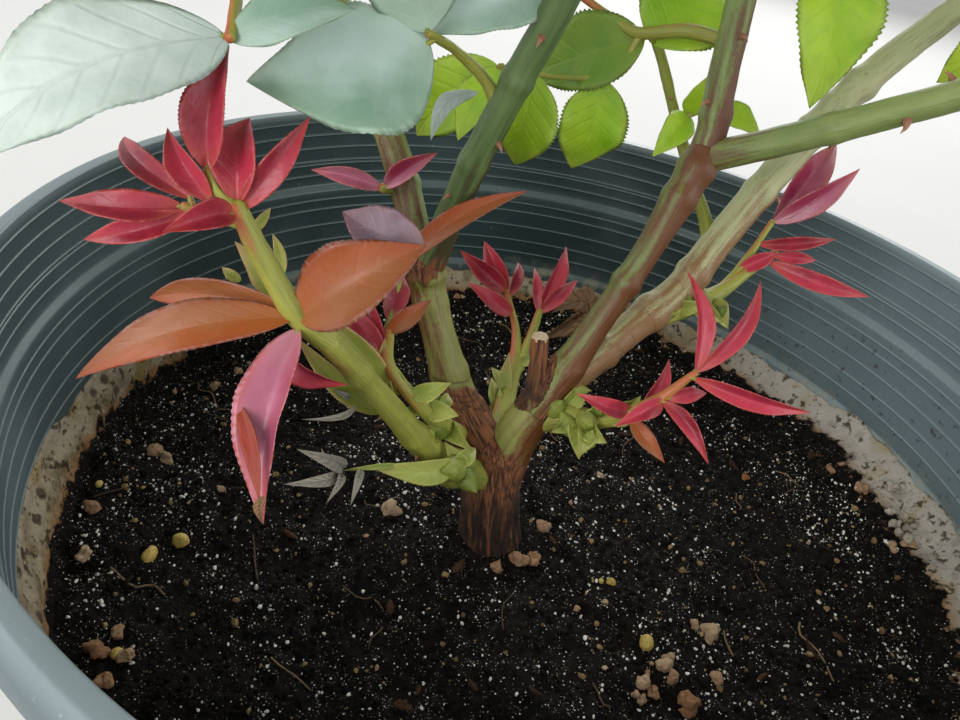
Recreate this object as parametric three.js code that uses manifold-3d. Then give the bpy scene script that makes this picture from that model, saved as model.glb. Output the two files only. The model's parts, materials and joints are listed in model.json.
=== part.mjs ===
// A rose bush in its round nursery pot, in millimetres with +Z up.
// The origin is the centre of the pot's flat underside, +X is to the right and -Y is the near side.
// Canes are tapering limbs.
// Each mass of leaves is one stem with twigs and leaves grown on it by a seeded rule.
import * as THREE from "three";
import { mergeVertices } from "three/addons/utils/BufferGeometryUtils.js";
import Module from "manifold-3d";

const wasm = await Module();
wasm.setup();

// Pot
const POT_HEIGHT = 250;
const RIM_RADIUS = 150;
const LIP_WIDTH = 6;
const LIP_DROP = 9;
const WALL = 2.6;
const FLOOR = 3;
const BASE_RADIUS = 111;
const UPPER_LEDGE_DEPTH = 28; // below the rim
const LOWER_LEDGE_DEPTH = 62;
const LEDGE_STEP = 1.8;
const WALL_TAPER = 0.05; // how much the wall draws in for each mm down, above the lower ledge
const DRAIN_RADIUS = 6;
const DRAIN_RING = 84;
const DRAINS = 6;
const POT_SIDES = 32;

// Soil
const SOIL_TOP = 175;
const CRUST_RISE = 7; // the dried crust that climbs the wall round the soil
const CRUST_WIDTH = 12;

// Fits
const GAP = 0.3; // clearance between neighbouring pieces
const KEEP_OFF = 0.5; // leaves stay this far from limbs

// Leaves
const LEAF_THICKNESS = 0.028; // of the leaf's length
const LEAF_SINK = 0.2; // how far a leaf's foot runs past the middle of its stem
const LEAFLET = 46; // length of a full-grown end leaflet
const LEAFLET_WIDTH = 0.7; // of its length
const GOLDEN_ANGLE = THREE.MathUtils.degToRad(137.5);
const CELL_MARGIN = 0.6; // half the least distance between two masses

// The crown's underside is a slope, so that canes and young shoots stand clear below it.
const UNDERSIDE = 338;
const UNDERSIDE_RISE_X = 0.196;
const UNDERSIDE_RISE_Y = -0.15;

const paint = (color, roughness) => new THREE.MeshStandardMaterial({ color, roughness, metalness: 0 });
const potPlastic = paint(0x2c3b3d, 0.45);
const pottingSoil = paint(0x1b1613, 0.95);
const bark = paint(0x6b4732, 0.9);
const greenCane = paint(0x7f9150, 0.6);
const paleCane = paint(0xb4b286, 0.65);
const youngStem = paint(0xa8b13e, 0.55);
const redLeaf = paint(0xb5304a, 0.5);
const copperLeaf = paint(0xc8632e, 0.5);
const greenLeaf = paint(0x5f8f3c, 0.55);

const at = ([x, y, z]) => new THREE.Vector3(x, y, z);
const mix = THREE.MathUtils.lerp;

// A closed geometry as a solid that can be joined and cut.
function solidOf(geometry) {
  const bare = geometry.clone();
  for (const name of Object.keys(bare.attributes)) {
    if (name !== "position") bare.deleteAttribute(name);
  }
  const merged = mergeVertices(bare, 1e-4);
  return new wasm.Manifold(
    new wasm.Mesh({
      numProp: 3,
      vertProperties: merged.attributes.position.array,
      triVerts: merged.index.array,
    }),
  );
}

// The largest body of a solid, without the scraps that a cut may leave.
function biggest(solid) {
  return solid.decompose().reduce((best, body) => (body.volume() > best.volume() ? body : best));
}

function join(solids) {
  return solids.reduce((all, solid) => all.add(solid));
}

function meshOf(name, solid, material) {
  const { vertProperties, triVerts } = biggest(solid).getMesh();
  const geometry = new THREE.BufferGeometry();
  geometry.setAttribute("position", new THREE.BufferAttribute(vertProperties, 3));
  geometry.setIndex(new THREE.BufferAttribute(triVerts, 1));
  geometry.computeVertexNormals();
  const mesh = new THREE.Mesh(geometry, material);
  mesh.name = name;
  return mesh;
}

// The value of an evenly spaced list at a share of its length.
function along(values, share) {
  const place = share * (values.length - 1);
  const low = Math.min(Math.floor(place), values.length - 2);
  return mix(values[low], values[low + 1], place - low);
}

// The smooth curve through a limb's points, and how many rings a step makes along it.
function bent(places, step = 14) {
  const curve = new THREE.CatmullRomCurve3(places, false, "centripetal");
  return { curve, rings: Math.max(1, Math.round(curve.getLength() / step)) };
}

// A tapering limb: a closed cylinder bent along the smooth curve through its points.
// radii are evenly spaced from foot to tip, and grow makes it larger all round and at both ends.
function limb({ points, radii, sides = 8, step }, grow = 0) {
  const places = points.map(at);
  const [first, second] = places;
  const [nextToLast, last] = places.slice(-2);
  const footward = first.clone().sub(second).setLength(grow || 1);
  const tipward = last.clone().sub(nextToLast).setLength(grow || 1);
  if (grow > 0) {
    first.add(footward);
    last.add(tipward);
  }
  const { curve, rings } = bent(places, step);
  const frames = curve.computeFrenetFrames(rings);
  const tube = new THREE.CylinderGeometry(1, 1, 1, sides, rings);
  const corner = tube.getAttribute("position");
  for (let i = 0; i < corner.count; i++) {
    const ring = Math.round((corner.getY(i) + 0.5) * rings);
    const radius = along(radii, ring / rings) + grow;
    const place = curve
      .getPointAt(ring / rings)
      .addScaledVector(frames.binormals[ring], radius * corner.getX(i))
      .addScaledVector(frames.normals[ring], radius * corner.getZ(i));
    corner.setXYZ(i, place.x, place.y, place.z);
  }
  return solidOf(tube);
}

// A leaflet: a flat double pyramid over an outline of a few corners, folded up along its midrib.
// Four corners make a leaf of 8 faces and six corners one of 12.
function leaflet({ base, tip, width, up = [0, -0.5, 1], fold = 0.25, arch = 0.06, corners = 6 }, grow = 0) {
  const foot = at(base);
  const reach = at(tip).sub(foot);
  const forward = reach.clone().normalize();
  const length = reach.length() + LEAF_SINK;
  foot.addScaledVector(forward, -LEAF_SINK);
  const side = forward.clone().cross(at(up)).normalize();
  const normal = side.clone().cross(forward);
  const thick = length * LEAF_THICKNESS + grow;
  const widest = corners === 6 ? Math.sin(Math.PI / 3) : 1;
  const shape = new THREE.SphereGeometry(1, corners, 2);
  const corner = shape.getAttribute("position");
  for (let i = 0; i < corner.count; i++) {
    const share = (1 + corner.getX(i)) / 2;
    const across = (corner.getZ(i) * width) / (2 * widest);
    const bow = arch * length * (1 - (2 * share - 1) ** 2);
    const height = (corner.getY(i) * thick) / 2 + fold * Math.abs(across) + bow;
    const place = foot
      .clone()
      .addScaledVector(forward, share * length)
      .addScaledVector(side, across)
      .addScaledVector(normal, height);
    corner.setXYZ(i, place.x, place.y, place.z);
  }
  return solidOf(shape);
}

// The wall's inner radius at a height: two ledges step it in, and below them it tapers to the base.
const innerRim = RIM_RADIUS - LIP_WIDTH;
const upperLedge = POT_HEIGHT - UPPER_LEDGE_DEPTH;
const lowerLedge = POT_HEIGHT - LOWER_LEDGE_DEPTH;
const upperRadius = innerRim - WALL_TAPER * UPPER_LEDGE_DEPTH;
const middleRadius = upperRadius - LEDGE_STEP;
const lowerRadius = middleRadius - WALL_TAPER * (LOWER_LEDGE_DEPTH - UPPER_LEDGE_DEPTH);
const bodyRadius = lowerRadius - LEDGE_STEP;
const innerBase = BASE_RADIUS - WALL;
function innerRadius(height) {
  return mix(innerBase, bodyRadius, height / lowerLedge);
}

function drainHole(index) {
  const angle = (2 * Math.PI * index) / DRAINS;
  const plug = new THREE.CylinderGeometry(DRAIN_RADIUS, DRAIN_RADIUS, 4 * FLOOR, 8);
  plug.rotateX(Math.PI / 2);
  plug.translate(DRAIN_RING * Math.cos(angle), DRAIN_RING * Math.sin(angle), 0);
  return solidOf(plug);
}

// One closed profile turned round the axis: underside, outer wall with steps, rolled lip, inner wall, floor.
function pot() {
  const profile = [
    [0, 0],
    [BASE_RADIUS - 2, 0],
    [BASE_RADIUS, 2],
    [bodyRadius + WALL, lowerLedge - 4],
    [lowerRadius + WALL, lowerLedge - 1],
    [middleRadius + WALL, upperLedge - 4],
    [upperRadius + WALL, upperLedge - 1],
    [innerRim + WALL - 0.6, POT_HEIGHT - LIP_DROP - 2],
    [RIM_RADIUS - 2, POT_HEIGHT - LIP_DROP - 2],
    [RIM_RADIUS, POT_HEIGHT - LIP_DROP],
    [RIM_RADIUS, POT_HEIGHT - 2.5],
    [RIM_RADIUS - 2.5, POT_HEIGHT],
    [innerRim, POT_HEIGHT],
    [upperRadius, upperLedge],
    [middleRadius, upperLedge - 2],
    [lowerRadius, lowerLedge],
    [bodyRadius, lowerLedge - 2],
    [innerRadius(FLOOR), FLOOR],
    [0, FLOOR],
  ];
  const outline = profile.map(([radius, height]) => new THREE.Vector2(radius, height));
  const turned = new THREE.LatheGeometry(outline, POT_SIDES);
  turned.rotateX(Math.PI / 2);
  let shell = solidOf(turned);
  for (let i = 0; i < DRAINS; i++) shell = shell.subtract(drainHole(i));
  return shell;
}

// The soil fills the pot to a level top and is banked up in a dried crust against the wall.
function soil() {
  const crustTop = SOIL_TOP + CRUST_RISE;
  const topRadius = innerRadius(crustTop) - GAP;
  const profile = [
    [0, FLOOR + GAP],
    [innerRadius(FLOOR) - 2, FLOOR + GAP],
    [innerRadius(FLOOR + 4) - 2 * GAP, FLOOR + 4],
    [topRadius - GAP, crustTop],
    [topRadius - 2.5, crustTop],
    [topRadius - 6, SOIL_TOP + 3],
    [topRadius - CRUST_WIDTH, SOIL_TOP],
    [0, SOIL_TOP],
  ];
  const outline = profile.map(([radius, height]) => new THREE.Vector2(radius, height));
  const turned = new THREE.LatheGeometry(outline, POT_SIDES);
  turned.rotateX(Math.PI / 2);
  return solidOf(turned);
}

// Trunk: a short leaning foot that forks into a left and a right limb, with a sawn snag on the right one.
const trunkFoot = {
  points: [[-11.5, -23, 170], [-12.5, -23, 180], [-14.5, -23, 193], [-17, -22, 211]],
  radii: [12, 9.4, 8.8, 8.7, 7.6],
  sides: 12,
  step: 9,
};
const leftFork = {
  points: [[-16, -22, 200], [-20, -21, 210], [-28, -18, 220.5]],
  radii: [7.4, 6.8, 6.2],
  sides: 10,
  step: 9,
};
const rightFork = {
  points: [[-15, -22, 200], [-12.5, -20.5, 215], [-7, -17, 229.5]],
  radii: [7.6, 6.1, 5.4],
  sides: 10,
  step: 9,
};
const snag = {
  points: [[-9.5, -18.5, 224], [-10.5, -17, 236], [-12, -13.5, 244]],
  radii: [3.4, 2.6, 2.1],
};

function trunk() {
  const wood = join([trunkFoot, leftFork, rightFork, snag].map((part) => limb(part)));
  const ground = new THREE.BoxGeometry(80, 80, 40);
  ground.translate(-12, -23, SOIL_TOP + GAP - 20);
  return wood.subtract(solidOf(ground));
}

// Canes: points from foot to tip, radii evenly spaced, on names the limbs that each one grows from or beside.
const canes = {
  left_cane: {
    points: [[-27.5, -18.2, 220], [-30, -17, 223.5], [-37, -13, 237], [-43, -8, 249], [-44, -7, 253.5]],
    radii: [6.1, 5.3, 4.7, 4.5, 5.4],
    on: ["trunk"],
    look: greenCane,
  },
  right_cane: {
    points: [[-7.4, -17.3, 229], [-2, -13, 241], [8, -4, 266], [16, 6, 289], [17, 7.5, 292]],
    radii: [5.2, 4.6, 4.3, 4.3, 4.4, 5.4, 4.6],
    on: ["trunk"],
    look: greenCane,
  },
  pale_cane: {
    points: [[-6, -16, 231], [2.6, -8, 237], [10, 0, 242], [24, 12, 254], [33, 22, 269], [55, 38, 306],
      [81, 47, 339], [104, 56, 372], [122, 66, 412]],
    radii: [5, 4.5, 4.4, 4.4, 4.3, 4.2, 4, 3.4, 2.6],
    on: ["trunk", "right_cane"],
    look: paleCane,
  },
  left_back_cane: {
    points: [[-44.5, -7, 253], [-48, -4, 260], [-55, 2, 274], [-70, 14, 295], [-84, 24, 313], [-100, 33, 345],
      [-113, 38, 385]],
    radii: [3.8, 3.7, 3.6, 3.4, 3, 2.4],
    on: ["left_cane"],
    look: greenCane,
  },
  front_cane: {
    points: [[-43.5, -7.5, 253], [-41.5, -8, 262], [-37, -12, 282], [-31, -16, 303], [-24, -21, 326],
      [-18, -32, 366], [-18, -46, 412]],
    radii: [3.5, 3.4, 3.3, 3.2, 2.9, 2.3],
    on: ["left_cane", "left_back_cane"],
    look: greenCane,
  },
  upright_cane: {
    points: [[16.5, 7, 290], [17, 8.5, 297], [16, 12, 310], [15, 17, 329], [14, 26, 370],
      [12, 38, 430], [12, 46, 480]],
    radii: [3.6, 3.3, 3.2, 3, 2.6, 2.1],
    on: ["right_cane"],
    look: greenCane,
  },
  outer_cane: {
    points: [[16.5, 7, 291], [22, 5, 294], [35, 1, 302], [59, -9, 319], [84, -23, 340],
      [108, -40, 374], [124, -54, 412]],
    radii: [3.5, 3.3, 3.2, 3.1, 2.8, 2.2],
    on: ["right_cane", "upright_cane", "pale_cane"],
    look: greenCane,
  },
  pale_side_shoot: {
    points: [[29.5, 18, 262], [27, 24, 269], [23, 32, 275], [16, 44, 286], [8, 54, 300],
      [1, 61, 312], [-8, 74, 345], [-16, 92, 390]],
    radii: [1.8, 1.6, 1.5, 1.5, 1.4],
    on: ["pale_cane"],
    look: greenCane,
    sides: 6,
  },
  low_left_bough: {
    points: [[-84, 24, 313], [-94, 15, 321], [-112, 4, 338], [-140, -16, 366]],
    radii: [2.5, 2.2, 1.9],
    on: ["left_back_cane"],
    look: greenCane,
    sides: 6,
  },
  low_back_left_bough: {
    points: [[-95, 30, 334], [-97, 44, 345], [-101, 66, 362], [-106, 92, 384]],
    radii: [2.5, 2.2, 1.9],
    on: ["left_back_cane"],
    look: greenCane,
    sides: 6,
  },
  low_front_left_bough: {
    points: [[-22, -25, 342], [-30, -38, 352], [-42, -62, 366], [-58, -92, 388]],
    radii: [2.4, 2.1, 1.8],
    on: ["front_cane"],
    look: greenCane,
    sides: 6,
  },
  low_front_right_bough: {
    points: [[90, -27, 347], [88, -40, 358], [83, -66, 374], [76, -96, 396]],
    radii: [2.4, 2.1, 1.8],
    on: ["outer_cane"],
    look: greenCane,
    sides: 6,
  },
  low_right_bough: {
    points: [[86, 49, 345], [100, 44, 356], [126, 36, 376], [156, 26, 398]],
    radii: [2.6, 2.2, 1.9],
    on: ["pale_cane"],
    look: paleCane,
    sides: 6,
  },
  low_back_right_bough: {
    points: [[78, 46, 336], [80, 60, 348], [84, 86, 370], [88, 114, 396]],
    radii: [2.6, 2.2, 1.9],
    on: ["pale_cane"],
    look: paleCane,
    sides: 6,
  },
  high_left_bough: {
    points: [[-18, -37, 382], [-26, -33, 398], [-42, -23, 430], [-60, -12, 468]],
    radii: [2.1, 1.9, 1.6],
    on: ["front_cane"],
    look: greenCane,
    sides: 6,
  },
  high_right_bough: {
    points: [[13.5, 29, 386], [22, 26, 402], [40, 17, 436], [60, 6, 474]],
    radii: [2.2, 1.9, 1.6],
    on: ["upright_cane"],
    look: greenCane,
    sides: 6,
  },
  left_young_shoot: {
    points: [[-18, -25, 205], [-27, -33, 212.5], [-36, -42, 227], [-45, -52, 245],
      [-52, -60, 259], [-54.5, -62, 263]],
    radii: [4.4, 4.6, 3.5, 3.2, 3, 2.9],
    on: ["trunk"],
    look: youngStem,
  },
};

// Young shoots and the leaves that hang below the crown: stems, and leaflets from base to tip with a width.
// Each leaflet's base, and a side stem's foot, is moved onto the middle of the stem nearest to it.
const LINE_SAMPLES = 12; // places tried between two rings of a stem
const red = (leaf) => ({ ...leaf, fold: 0.5, corners: 4 });
const sprays = {
  left_young_leaves: {
    on: ["left_young_shoot"],
    look: copperLeaf,
    stems: [
      {
        points: [[-54, -61.6, 262.2], [-59, -64.5, 268], [-65.5, -65, 278], [-71, -65, 288]],
        radii: [2.7, 2.5, 1.8],
      },
      { points: [[-70, -65, 285], [-75, -66, 286], [-79, -67.5, 287]], radii: [1.2, 0.9], sides: 5, step: 5 },
      { points: [[-71, -65, 287], [-74, -65, 290], [-76, -64.5, 293]], radii: [1.1, 0.8], sides: 5, step: 5 },
    ],
    leaves: [
      { base: [-76, -64.5, 293], tip: [-75, -59, 312], width: 8 },
      { base: [-70.5, -64.5, 287], tip: [-62, -57, 303], width: 5.5 },
      { base: [-71, -64.5, 288], tip: [-73, -54, 300], width: 6.5 },
      { base: [-75, -65.5, 288], tip: [-84, -62, 298], width: 6 },
      { base: [-78, -66, 288], tip: [-98, -53, 292], width: 4.5 },
      { base: [-79, -67.5, 287], tip: [-97, -74, 287], width: 5.5 },
      { base: [-77, -67, 286], tip: [-95, -73, 280], width: 4.5 },
      { base: [-71, -66, 287], tip: [-77, -78, 288], width: 5 },
      { base: [-60, -66, 269], tip: [-95, -81, 259], width: 9, up: [0.1, -0.6, 1] },
      { base: [-61, -65, 270], tip: [-93, -60, 262], width: 6 },
      { base: [-59, -66, 267], tip: [-57, -93, 245], width: 10, up: [-0.2, -1, 0.5] },
      { base: [-57, -64, 265], tip: [-52, -66, 254], width: 5, up: [0.3, -1, 0.2] },
      { base: [-59, -66, 269], tip: [-40, -62, 287], width: 13, up: [-0.5, -1, 0.5], fold: 0.35 },
    ],
  },
  left_small_shoot: {
    on: ["trunk", "left_cane", "left_back_cane", "front_cane", "left_young_shoot"],
    look: redLeaf,
    stems: [
      {
        points: [[-26, -21, 214], [-30, -32, 224], [-37, -43, 238], [-45, -43, 247], [-47, -37, 252]],
        radii: [2.6, 2.4, 1.7, 1.2], sides: 6,
      },
      { points: [[-47, -37, 251], [-47.5, -30, 256], [-48, -23, 261]], radii: [1.1, 0.8], sides: 5 },
    ],
    leaves: [
      red({ base: [-48, -23, 261], tip: [-24, -14, 283], width: 5.5, up: [-0.6, -1, 0.4] }),
      red({ base: [-47, -38, 252], tip: [-39, -34, 260], width: 4.5, up: [0, -1, 0.5] }),
      red({ base: [-47.5, -35, 253], tip: [-47, -24, 260], width: 5.5, up: [0, -1, 1] }),
      red({ base: [-47, -40, 250], tip: [-56, -28, 256], width: 4 }),
      red({ base: [-46, -42, 248], tip: [-60, -36, 256], width: 5 }),
      red({ base: [-39, -44, 241], tip: [-31, -44, 246], width: 4.5 }),
      red({ base: [-35, -41, 235], tip: [-28, -43, 237], width: 5 }),
    ],
  },
  cane_shoot: {
    on: ["left_back_cane"],
    look: redLeaf,
    stems: [
      {
        points: [[-54, 1, 270], [-57, -3.5, 270.5], [-57.5, -5, 271]],
        radii: [1.8, 1.4], sides: 6, step: 3,
      },
    ],
    leaves: [
      red({ base: [-57.5, -4.5, 270.5], tip: [-75, -7, 273], width: 4.5 }),
      red({ base: [-57, -5.5, 271.5], tip: [-46, -6, 283], width: 5, up: [-0.5, -1, 0.3] }),
    ],
  },
  middle_young_shoot: {
    on: ["trunk"],
    look: redLeaf,
    stems: [
      {
        points: [[-15.5, -16, 203], [-16, -8, 210], [-16, 2, 214], [-15.5, 11, 219.5], [-17, 19, 225],
          [-22, 29, 232]],
        radii: [2.6, 2.2, 1.6, 1.1, 0.8], sides: 6,
      },
      { points: [[-15.8, 6, 216], [-13, 14, 221.5], [-11, 26, 230]], radii: [1.7, 1.3, 0.9], sides: 5 },
    ],
    leaves: [
      red({ base: [-22, 29, 232], tip: [-38, 30, 242], width: 6 }),
      red({ base: [-22, 29.5, 232], tip: [-32, 39, 243], width: 5.5 }),
      red({ base: [-19, 23, 228], tip: [-33, 20, 237], width: 5.5 }),
      red({ base: [-21, 28, 231], tip: [-20, 38, 239], width: 3.5 }),
      red({ base: [-11, 26, 230], tip: [-6, 42, 246], width: 5.5 }),
      red({ base: [-11, 25, 229.5], tip: [-1, 33, 239], width: 4.5 }),
      red({ base: [-11.5, 25, 229.5], tip: [-15, 34, 240], width: 3.5 }),
    ],
  },
  right_low_shoot: {
    on: ["trunk", "right_cane"],
    look: redLeaf,
    stems: [
      {
        points: [[-9, -19, 222], [-2, -20.5, 226.5], [6, -21, 228], [14, -23, 234], [20, -23, 240.5],
          [26, -21, 248]],
        radii: [3.8, 3.4, 2.6, 2, 1.4, 0.9], sides: 7,
      },
    ],
    leaves: [
      red({ base: [26, -21, 248], tip: [20, -7, 268], width: 5.5 }),
      red({ base: [26, -21, 248], tip: [40, -3, 268], width: 5.5 }),
      red({ base: [25.5, -22, 247], tip: [55, -26, 247], width: 5.5 }),
      red({ base: [16, -23, 236], tip: [22, -13, 246], width: 4 }),
      red({ base: [14, -23, 234.5], tip: [0, -29, 240], width: 4.5 }),
      red({ base: [20, -24, 240], tip: [32, -37, 235], width: 4.5 }),
      red({ base: [21, -24, 241], tip: [31, -21, 243], width: 4 }),
      red({ base: [20, -24, 240], tip: [10, -34, 237], width: 4.5 }),
      red({ base: [2, -21, 228], tip: [4, -31, 223], width: 6.5 }),
      red({ base: [8, -22, 229], tip: [16, -20, 237], width: 6 }),
      red({ base: [14, -24, 233], tip: [24, -32, 228], width: 5.5 }),
    ],
  },
  right_high_shoot: {
    on: ["pale_cane", "right_cane", "outer_cane"],
    look: redLeaf,
    stems: [
      {
        points: [[16, 4, 246], [21, 7, 247.5], [35, 17, 251.5], [43, 23, 257.5], [50, 28, 263]],
        radii: [3.4, 3.2, 2.3, 1.6, 1], sides: 6,
      },
      { points: [[35, 17, 251], [41, 24, 258], [47, 32, 270]], radii: [1.6, 1.2, 0.8], sides: 5 },
    ],
    leaves: [
      red({ base: [48, 26, 260.5], tip: [78, 20, 260], width: 6.5 }),
      red({ base: [49, 27, 262], tip: [63, 29, 263], width: 3.5 }),
      red({ base: [47, 32, 270], tip: [62, 46, 292], width: 9 }),
      red({ base: [47, 31.5, 270], tip: [65, 34, 289], width: 7 }),
      red({ base: [44, 28, 264], tip: [66, 30, 270], width: 4.5 }),
      red({ base: [40, 23, 257.5], tip: [50, 25, 264], width: 4.5 }),
      red({ base: [33, 15, 250], tip: [39, 8, 247], width: 6 }),
    ],
  },
  front_leaf: {
    on: ["front_cane"],
    look: greenLeaf,
    stems: [
      {
        points: [[-32, -15, 297], [-36.5, -15.5, 303.5], [-43, -21, 309.5], [-48, -29, 313.5]],
        radii: [1.8, 1.3, 1, 0.8], sides: 6,
      },
    ],
    leaves: [
      { base: [-47, -28, 312.5], tip: [-75, -49, 310], width: 22, up: [0, -0.8, 1] },
      { base: [-48, -26, 313], tip: [-44, -4, 322], width: 17, up: [0.3, -0.8, 1] },
      { base: [-48, -29, 313.5], tip: [-56, -48, 332], width: 20, up: [-0.5, 0, 1] },
    ],
  },
  hanging_front_leaf: {
    on: ["left_back_cane"],
    look: greenLeaf,
    stems: [
      {
        points: [[-85, 24.5, 314.5], [-86, 6, 326], [-83, -25, 327], [-75, -57, 312.5]],
        radii: [1.5, 1.2, 1], sides: 5, step: 14,
      },
    ],
    leaves: [
      { base: [-76, -56, 312.5], tip: [-102, -88, 299], width: 24, up: [0.2, -0.9, 1] },
      { base: [-74.5, -58, 312], tip: [-64, -70, 334], width: 20, up: [-0.4, -1, 0.6] },
      { base: [-82, -30, 325], tip: [-112, -32, 322], width: 22, up: [0, 0, 1] },
    ],
  },
  back_leaves: {
    on: ["upright_cane", "front_cane"],
    look: greenLeaf,
    stems: [
      {
        points: [[15.3, 15.5, 316], [6, 18, 316], [-5, 20, 313], [-12, 24, 314.5], [-26, 32, 319]],
        radii: [1.8, 1.6, 1, 0.8], sides: 6,
      },
      {
        points: [[-4, 20, 313], [-9, 18, 303], [-22, 16, 300], [-36, 14, 300]],
        radii: [0.9, 0.7, 0.7], sides: 5, step: 12,
      },
    ],
    leaves: [
      { base: [-3, 20, 312], tip: [-26, 26, 296], width: 17, up: [0.3, -1, 0.7] },
      { base: [-10.5, 17.5, 301.5], tip: [-12, 20, 276], width: 18, up: [0.2, -1, 0] },
      { base: [-27, 15, 300], tip: [-28, 18, 274], width: 18, up: [-0.2, -1, 0] },
      { base: [-36, 14, 300], tip: [-57, 22, 276], width: 18, up: [-0.4, -1, 0.4] },
      { base: [-35.5, 14, 300], tip: [-43, 4, 284], width: 11, up: [-0.6, -1, 0.2] },
      { base: [-3, 20, 314], tip: [16, 38, 329], width: 18, up: [0, -1, 1] },
    ],
  },
  side_leaves: {
    on: ["pale_side_shoot"],
    look: greenLeaf,
    stems: [
      {
        points: [[14.5, 45.5, 288], [19, 47, 291], [26, 49, 293.5]],
        radii: [0.9, 0.8], sides: 5, step: 7,
      },
    ],
    leaves: [
      { base: [18, 47, 290], tip: [10, 31, 283], width: 9, up: [0, -1, 0.4] },
      { base: [24, 48.7, 293], tip: [39, 45, 290], width: 8, up: [0, -1, 0.6] },
      { base: [18, 47, 290], tip: [19, 41, 302], width: 7, up: [0, -1, 0] },
    ],
  },
  right_leaf: {
    on: ["upright_cane"],
    look: greenLeaf,
    stems: [
      {
        points: [[15, 19.5, 337], [24, 28, 345], [38, 38, 340]],
        radii: [1.3, 1, 0.8], sides: 5, step: 10,
      },
    ],
    leaves: [
      { base: [37, 37.5, 340.5], tip: [43, 24, 304], width: 22, up: [0, -1, 0.2] },
      { base: [26, 29.5, 344.5], tip: [22, 58, 340], width: 20, up: [0, 0, 1] },
      { base: [37, 37.5, 340], tip: [60, 50, 345], width: 20, up: [0, 0, 1] },
    ],
  },
  far_right_leaf: {
    on: ["pale_cane"],
    look: greenLeaf,
    stems: [
      {
        points: [[76, 45, 333.5], [84, 40, 333], [92, 36, 330]],
        radii: [1.3, 0.9], sides: 5, step: 9,
      },
    ],
    leaves: [
      { base: [86, 39, 332.5], tip: [76, 38, 313], width: 15, up: [0, -1, 0.2] },
      { base: [92, 36, 330], tip: [112, 26, 316], width: 17, up: [0, -0.5, 1] },
    ],
  },
};

// Masses of the crown: the limb that carries each one, and the middle of the space it fills.
const MASS_REACH = 88;
const MASS_REACH_UP = 84;
const masses = {
  left_mass: { from: "left_back_cane", centre: [-142, 48, 466] },
  front_mass: { from: "front_cane", centre: [-12, -72, 494] },
  top_mass: { from: "upright_cane", centre: [10, 54, 566] },
  right_mass: { from: "outer_cane", centre: [144, -70, 478] },
  back_right_mass: { from: "pale_cane", centre: [142, 82, 492] },
  back_mass: { from: "pale_side_shoot", centre: [-22, 124, 470] },
  low_left_mass: { from: "low_left_bough", centre: [-176, -40, 420] },
  low_back_left_mass: { from: "low_back_left_bough", centre: [-112, 148, 436] },
  low_front_left_mass: { from: "low_front_left_bough", centre: [-82, -130, 436] },
  low_front_right_mass: { from: "low_front_right_bough", centre: [64, -142, 446] },
  low_right_mass: { from: "low_right_bough", centre: [202, 14, 440] },
  low_back_right_mass: { from: "low_back_right_bough", centre: [88, 168, 446] },
  high_left_mass: { from: "high_left_bough", centre: [-82, -14, 550] },
  high_right_mass: { from: "high_right_bough", centre: [84, -6, 554] },
};

// A small generator of repeatable numbers between 0 and 1.
function numbers(seed) {
  let state = seed >>> 0;
  return () => {
    state = (Math.imul(state, 1664525) + 1013904223) >>> 0;
    return state / 2 ** 32;
  };
}

// Whether every point of a solid is inside a mass's own space: its ellipsoid, its side of the plane
// halfway to each neighbour, and above the crown's underside.
function insideSpace(name, solid) {
  const centre = at(masses[name].centre);
  const { vertProperties } = solid.getMesh();
  for (let i = 0; i < vertProperties.length; i += 3) {
    const point = new THREE.Vector3().fromArray(vertProperties, i);
    const away = point.clone().sub(centre);
    if (Math.hypot(away.x / MASS_REACH, away.y / MASS_REACH, away.z / MASS_REACH_UP) > 1) return false;
    if (point.z < UNDERSIDE + UNDERSIDE_RISE_X * point.x + UNDERSIDE_RISE_Y * point.y) return false;
    for (const other of Object.keys(masses)) {
      if (other === name) continue;
      const toOther = at(masses[other].centre).sub(centre);
      const distance = toOther.length();
      if (away.dot(toOther) / distance > distance / 2 - CELL_MARGIN) return false;
    }
  }
  return true;
}

// A compound leaf: a drooping three-sided stalk with two pairs of leaflets and one at its end.
const STALK_RADIUS = 1.1;
const STALK_DROOP = 0.2; // how far the end of a stalk hangs, of its length
const PAIR_SHARES = [0.4, 0.74];
const PAIR_OFFSET = 0.07; // the two leaflets of a pair stand this much apart along the stalk
const PAIR_SPREAD = THREE.MathUtils.degToRad(58);
const PAIR_SIZE = 0.86; // of the end leaflet
const END_SHARE = 0.98;
const FULL_STALK = 52; // the stalk that carries a full-grown end leaflet
function compoundLeaf(foot, aim, face, length) {
  const side = aim.clone().cross(face).normalize();
  const upper = side.clone().cross(aim).normalize();
  const onStalk = (share) => {
    const droop = STALK_DROOP * length * share * share;
    return foot.clone().addScaledVector(aim, share * length).addScaledVector(upper, -droop);
  };
  const points = [0, 0.5, 1].map((share) => onStalk(share).toArray());
  const stalk = { points, radii: [STALK_RADIUS, 0.75 * STALK_RADIUS], sides: 3, step: length / 2 };
  const leaves = [];
  const grow = (share, turn, size) => {
    const start = onStalk(share);
    const ahead = onStalk(share + 0.05).sub(start).normalize();
    const heading = ahead.multiplyScalar(Math.cos(turn)).addScaledVector(side, Math.sin(turn));
    const base = start.toArray();
    const tip = start.addScaledVector(heading, size).toArray();
    leaves.push({ base, tip, width: LEAFLET_WIDTH * size, up: upper.toArray(), corners: 4, arch: 0.1 });
  };
  const size = (LEAFLET * length) / FULL_STALK;
  for (const share of PAIR_SHARES) {
    grow(share, PAIR_SPREAD, PAIR_SIZE * size);
    grow(share + PAIR_OFFSET, -PAIR_SPREAD, PAIR_SIZE * size);
  }
  grow(END_SHARE, 0, size);
  return { stalk, leaves };
}

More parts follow.
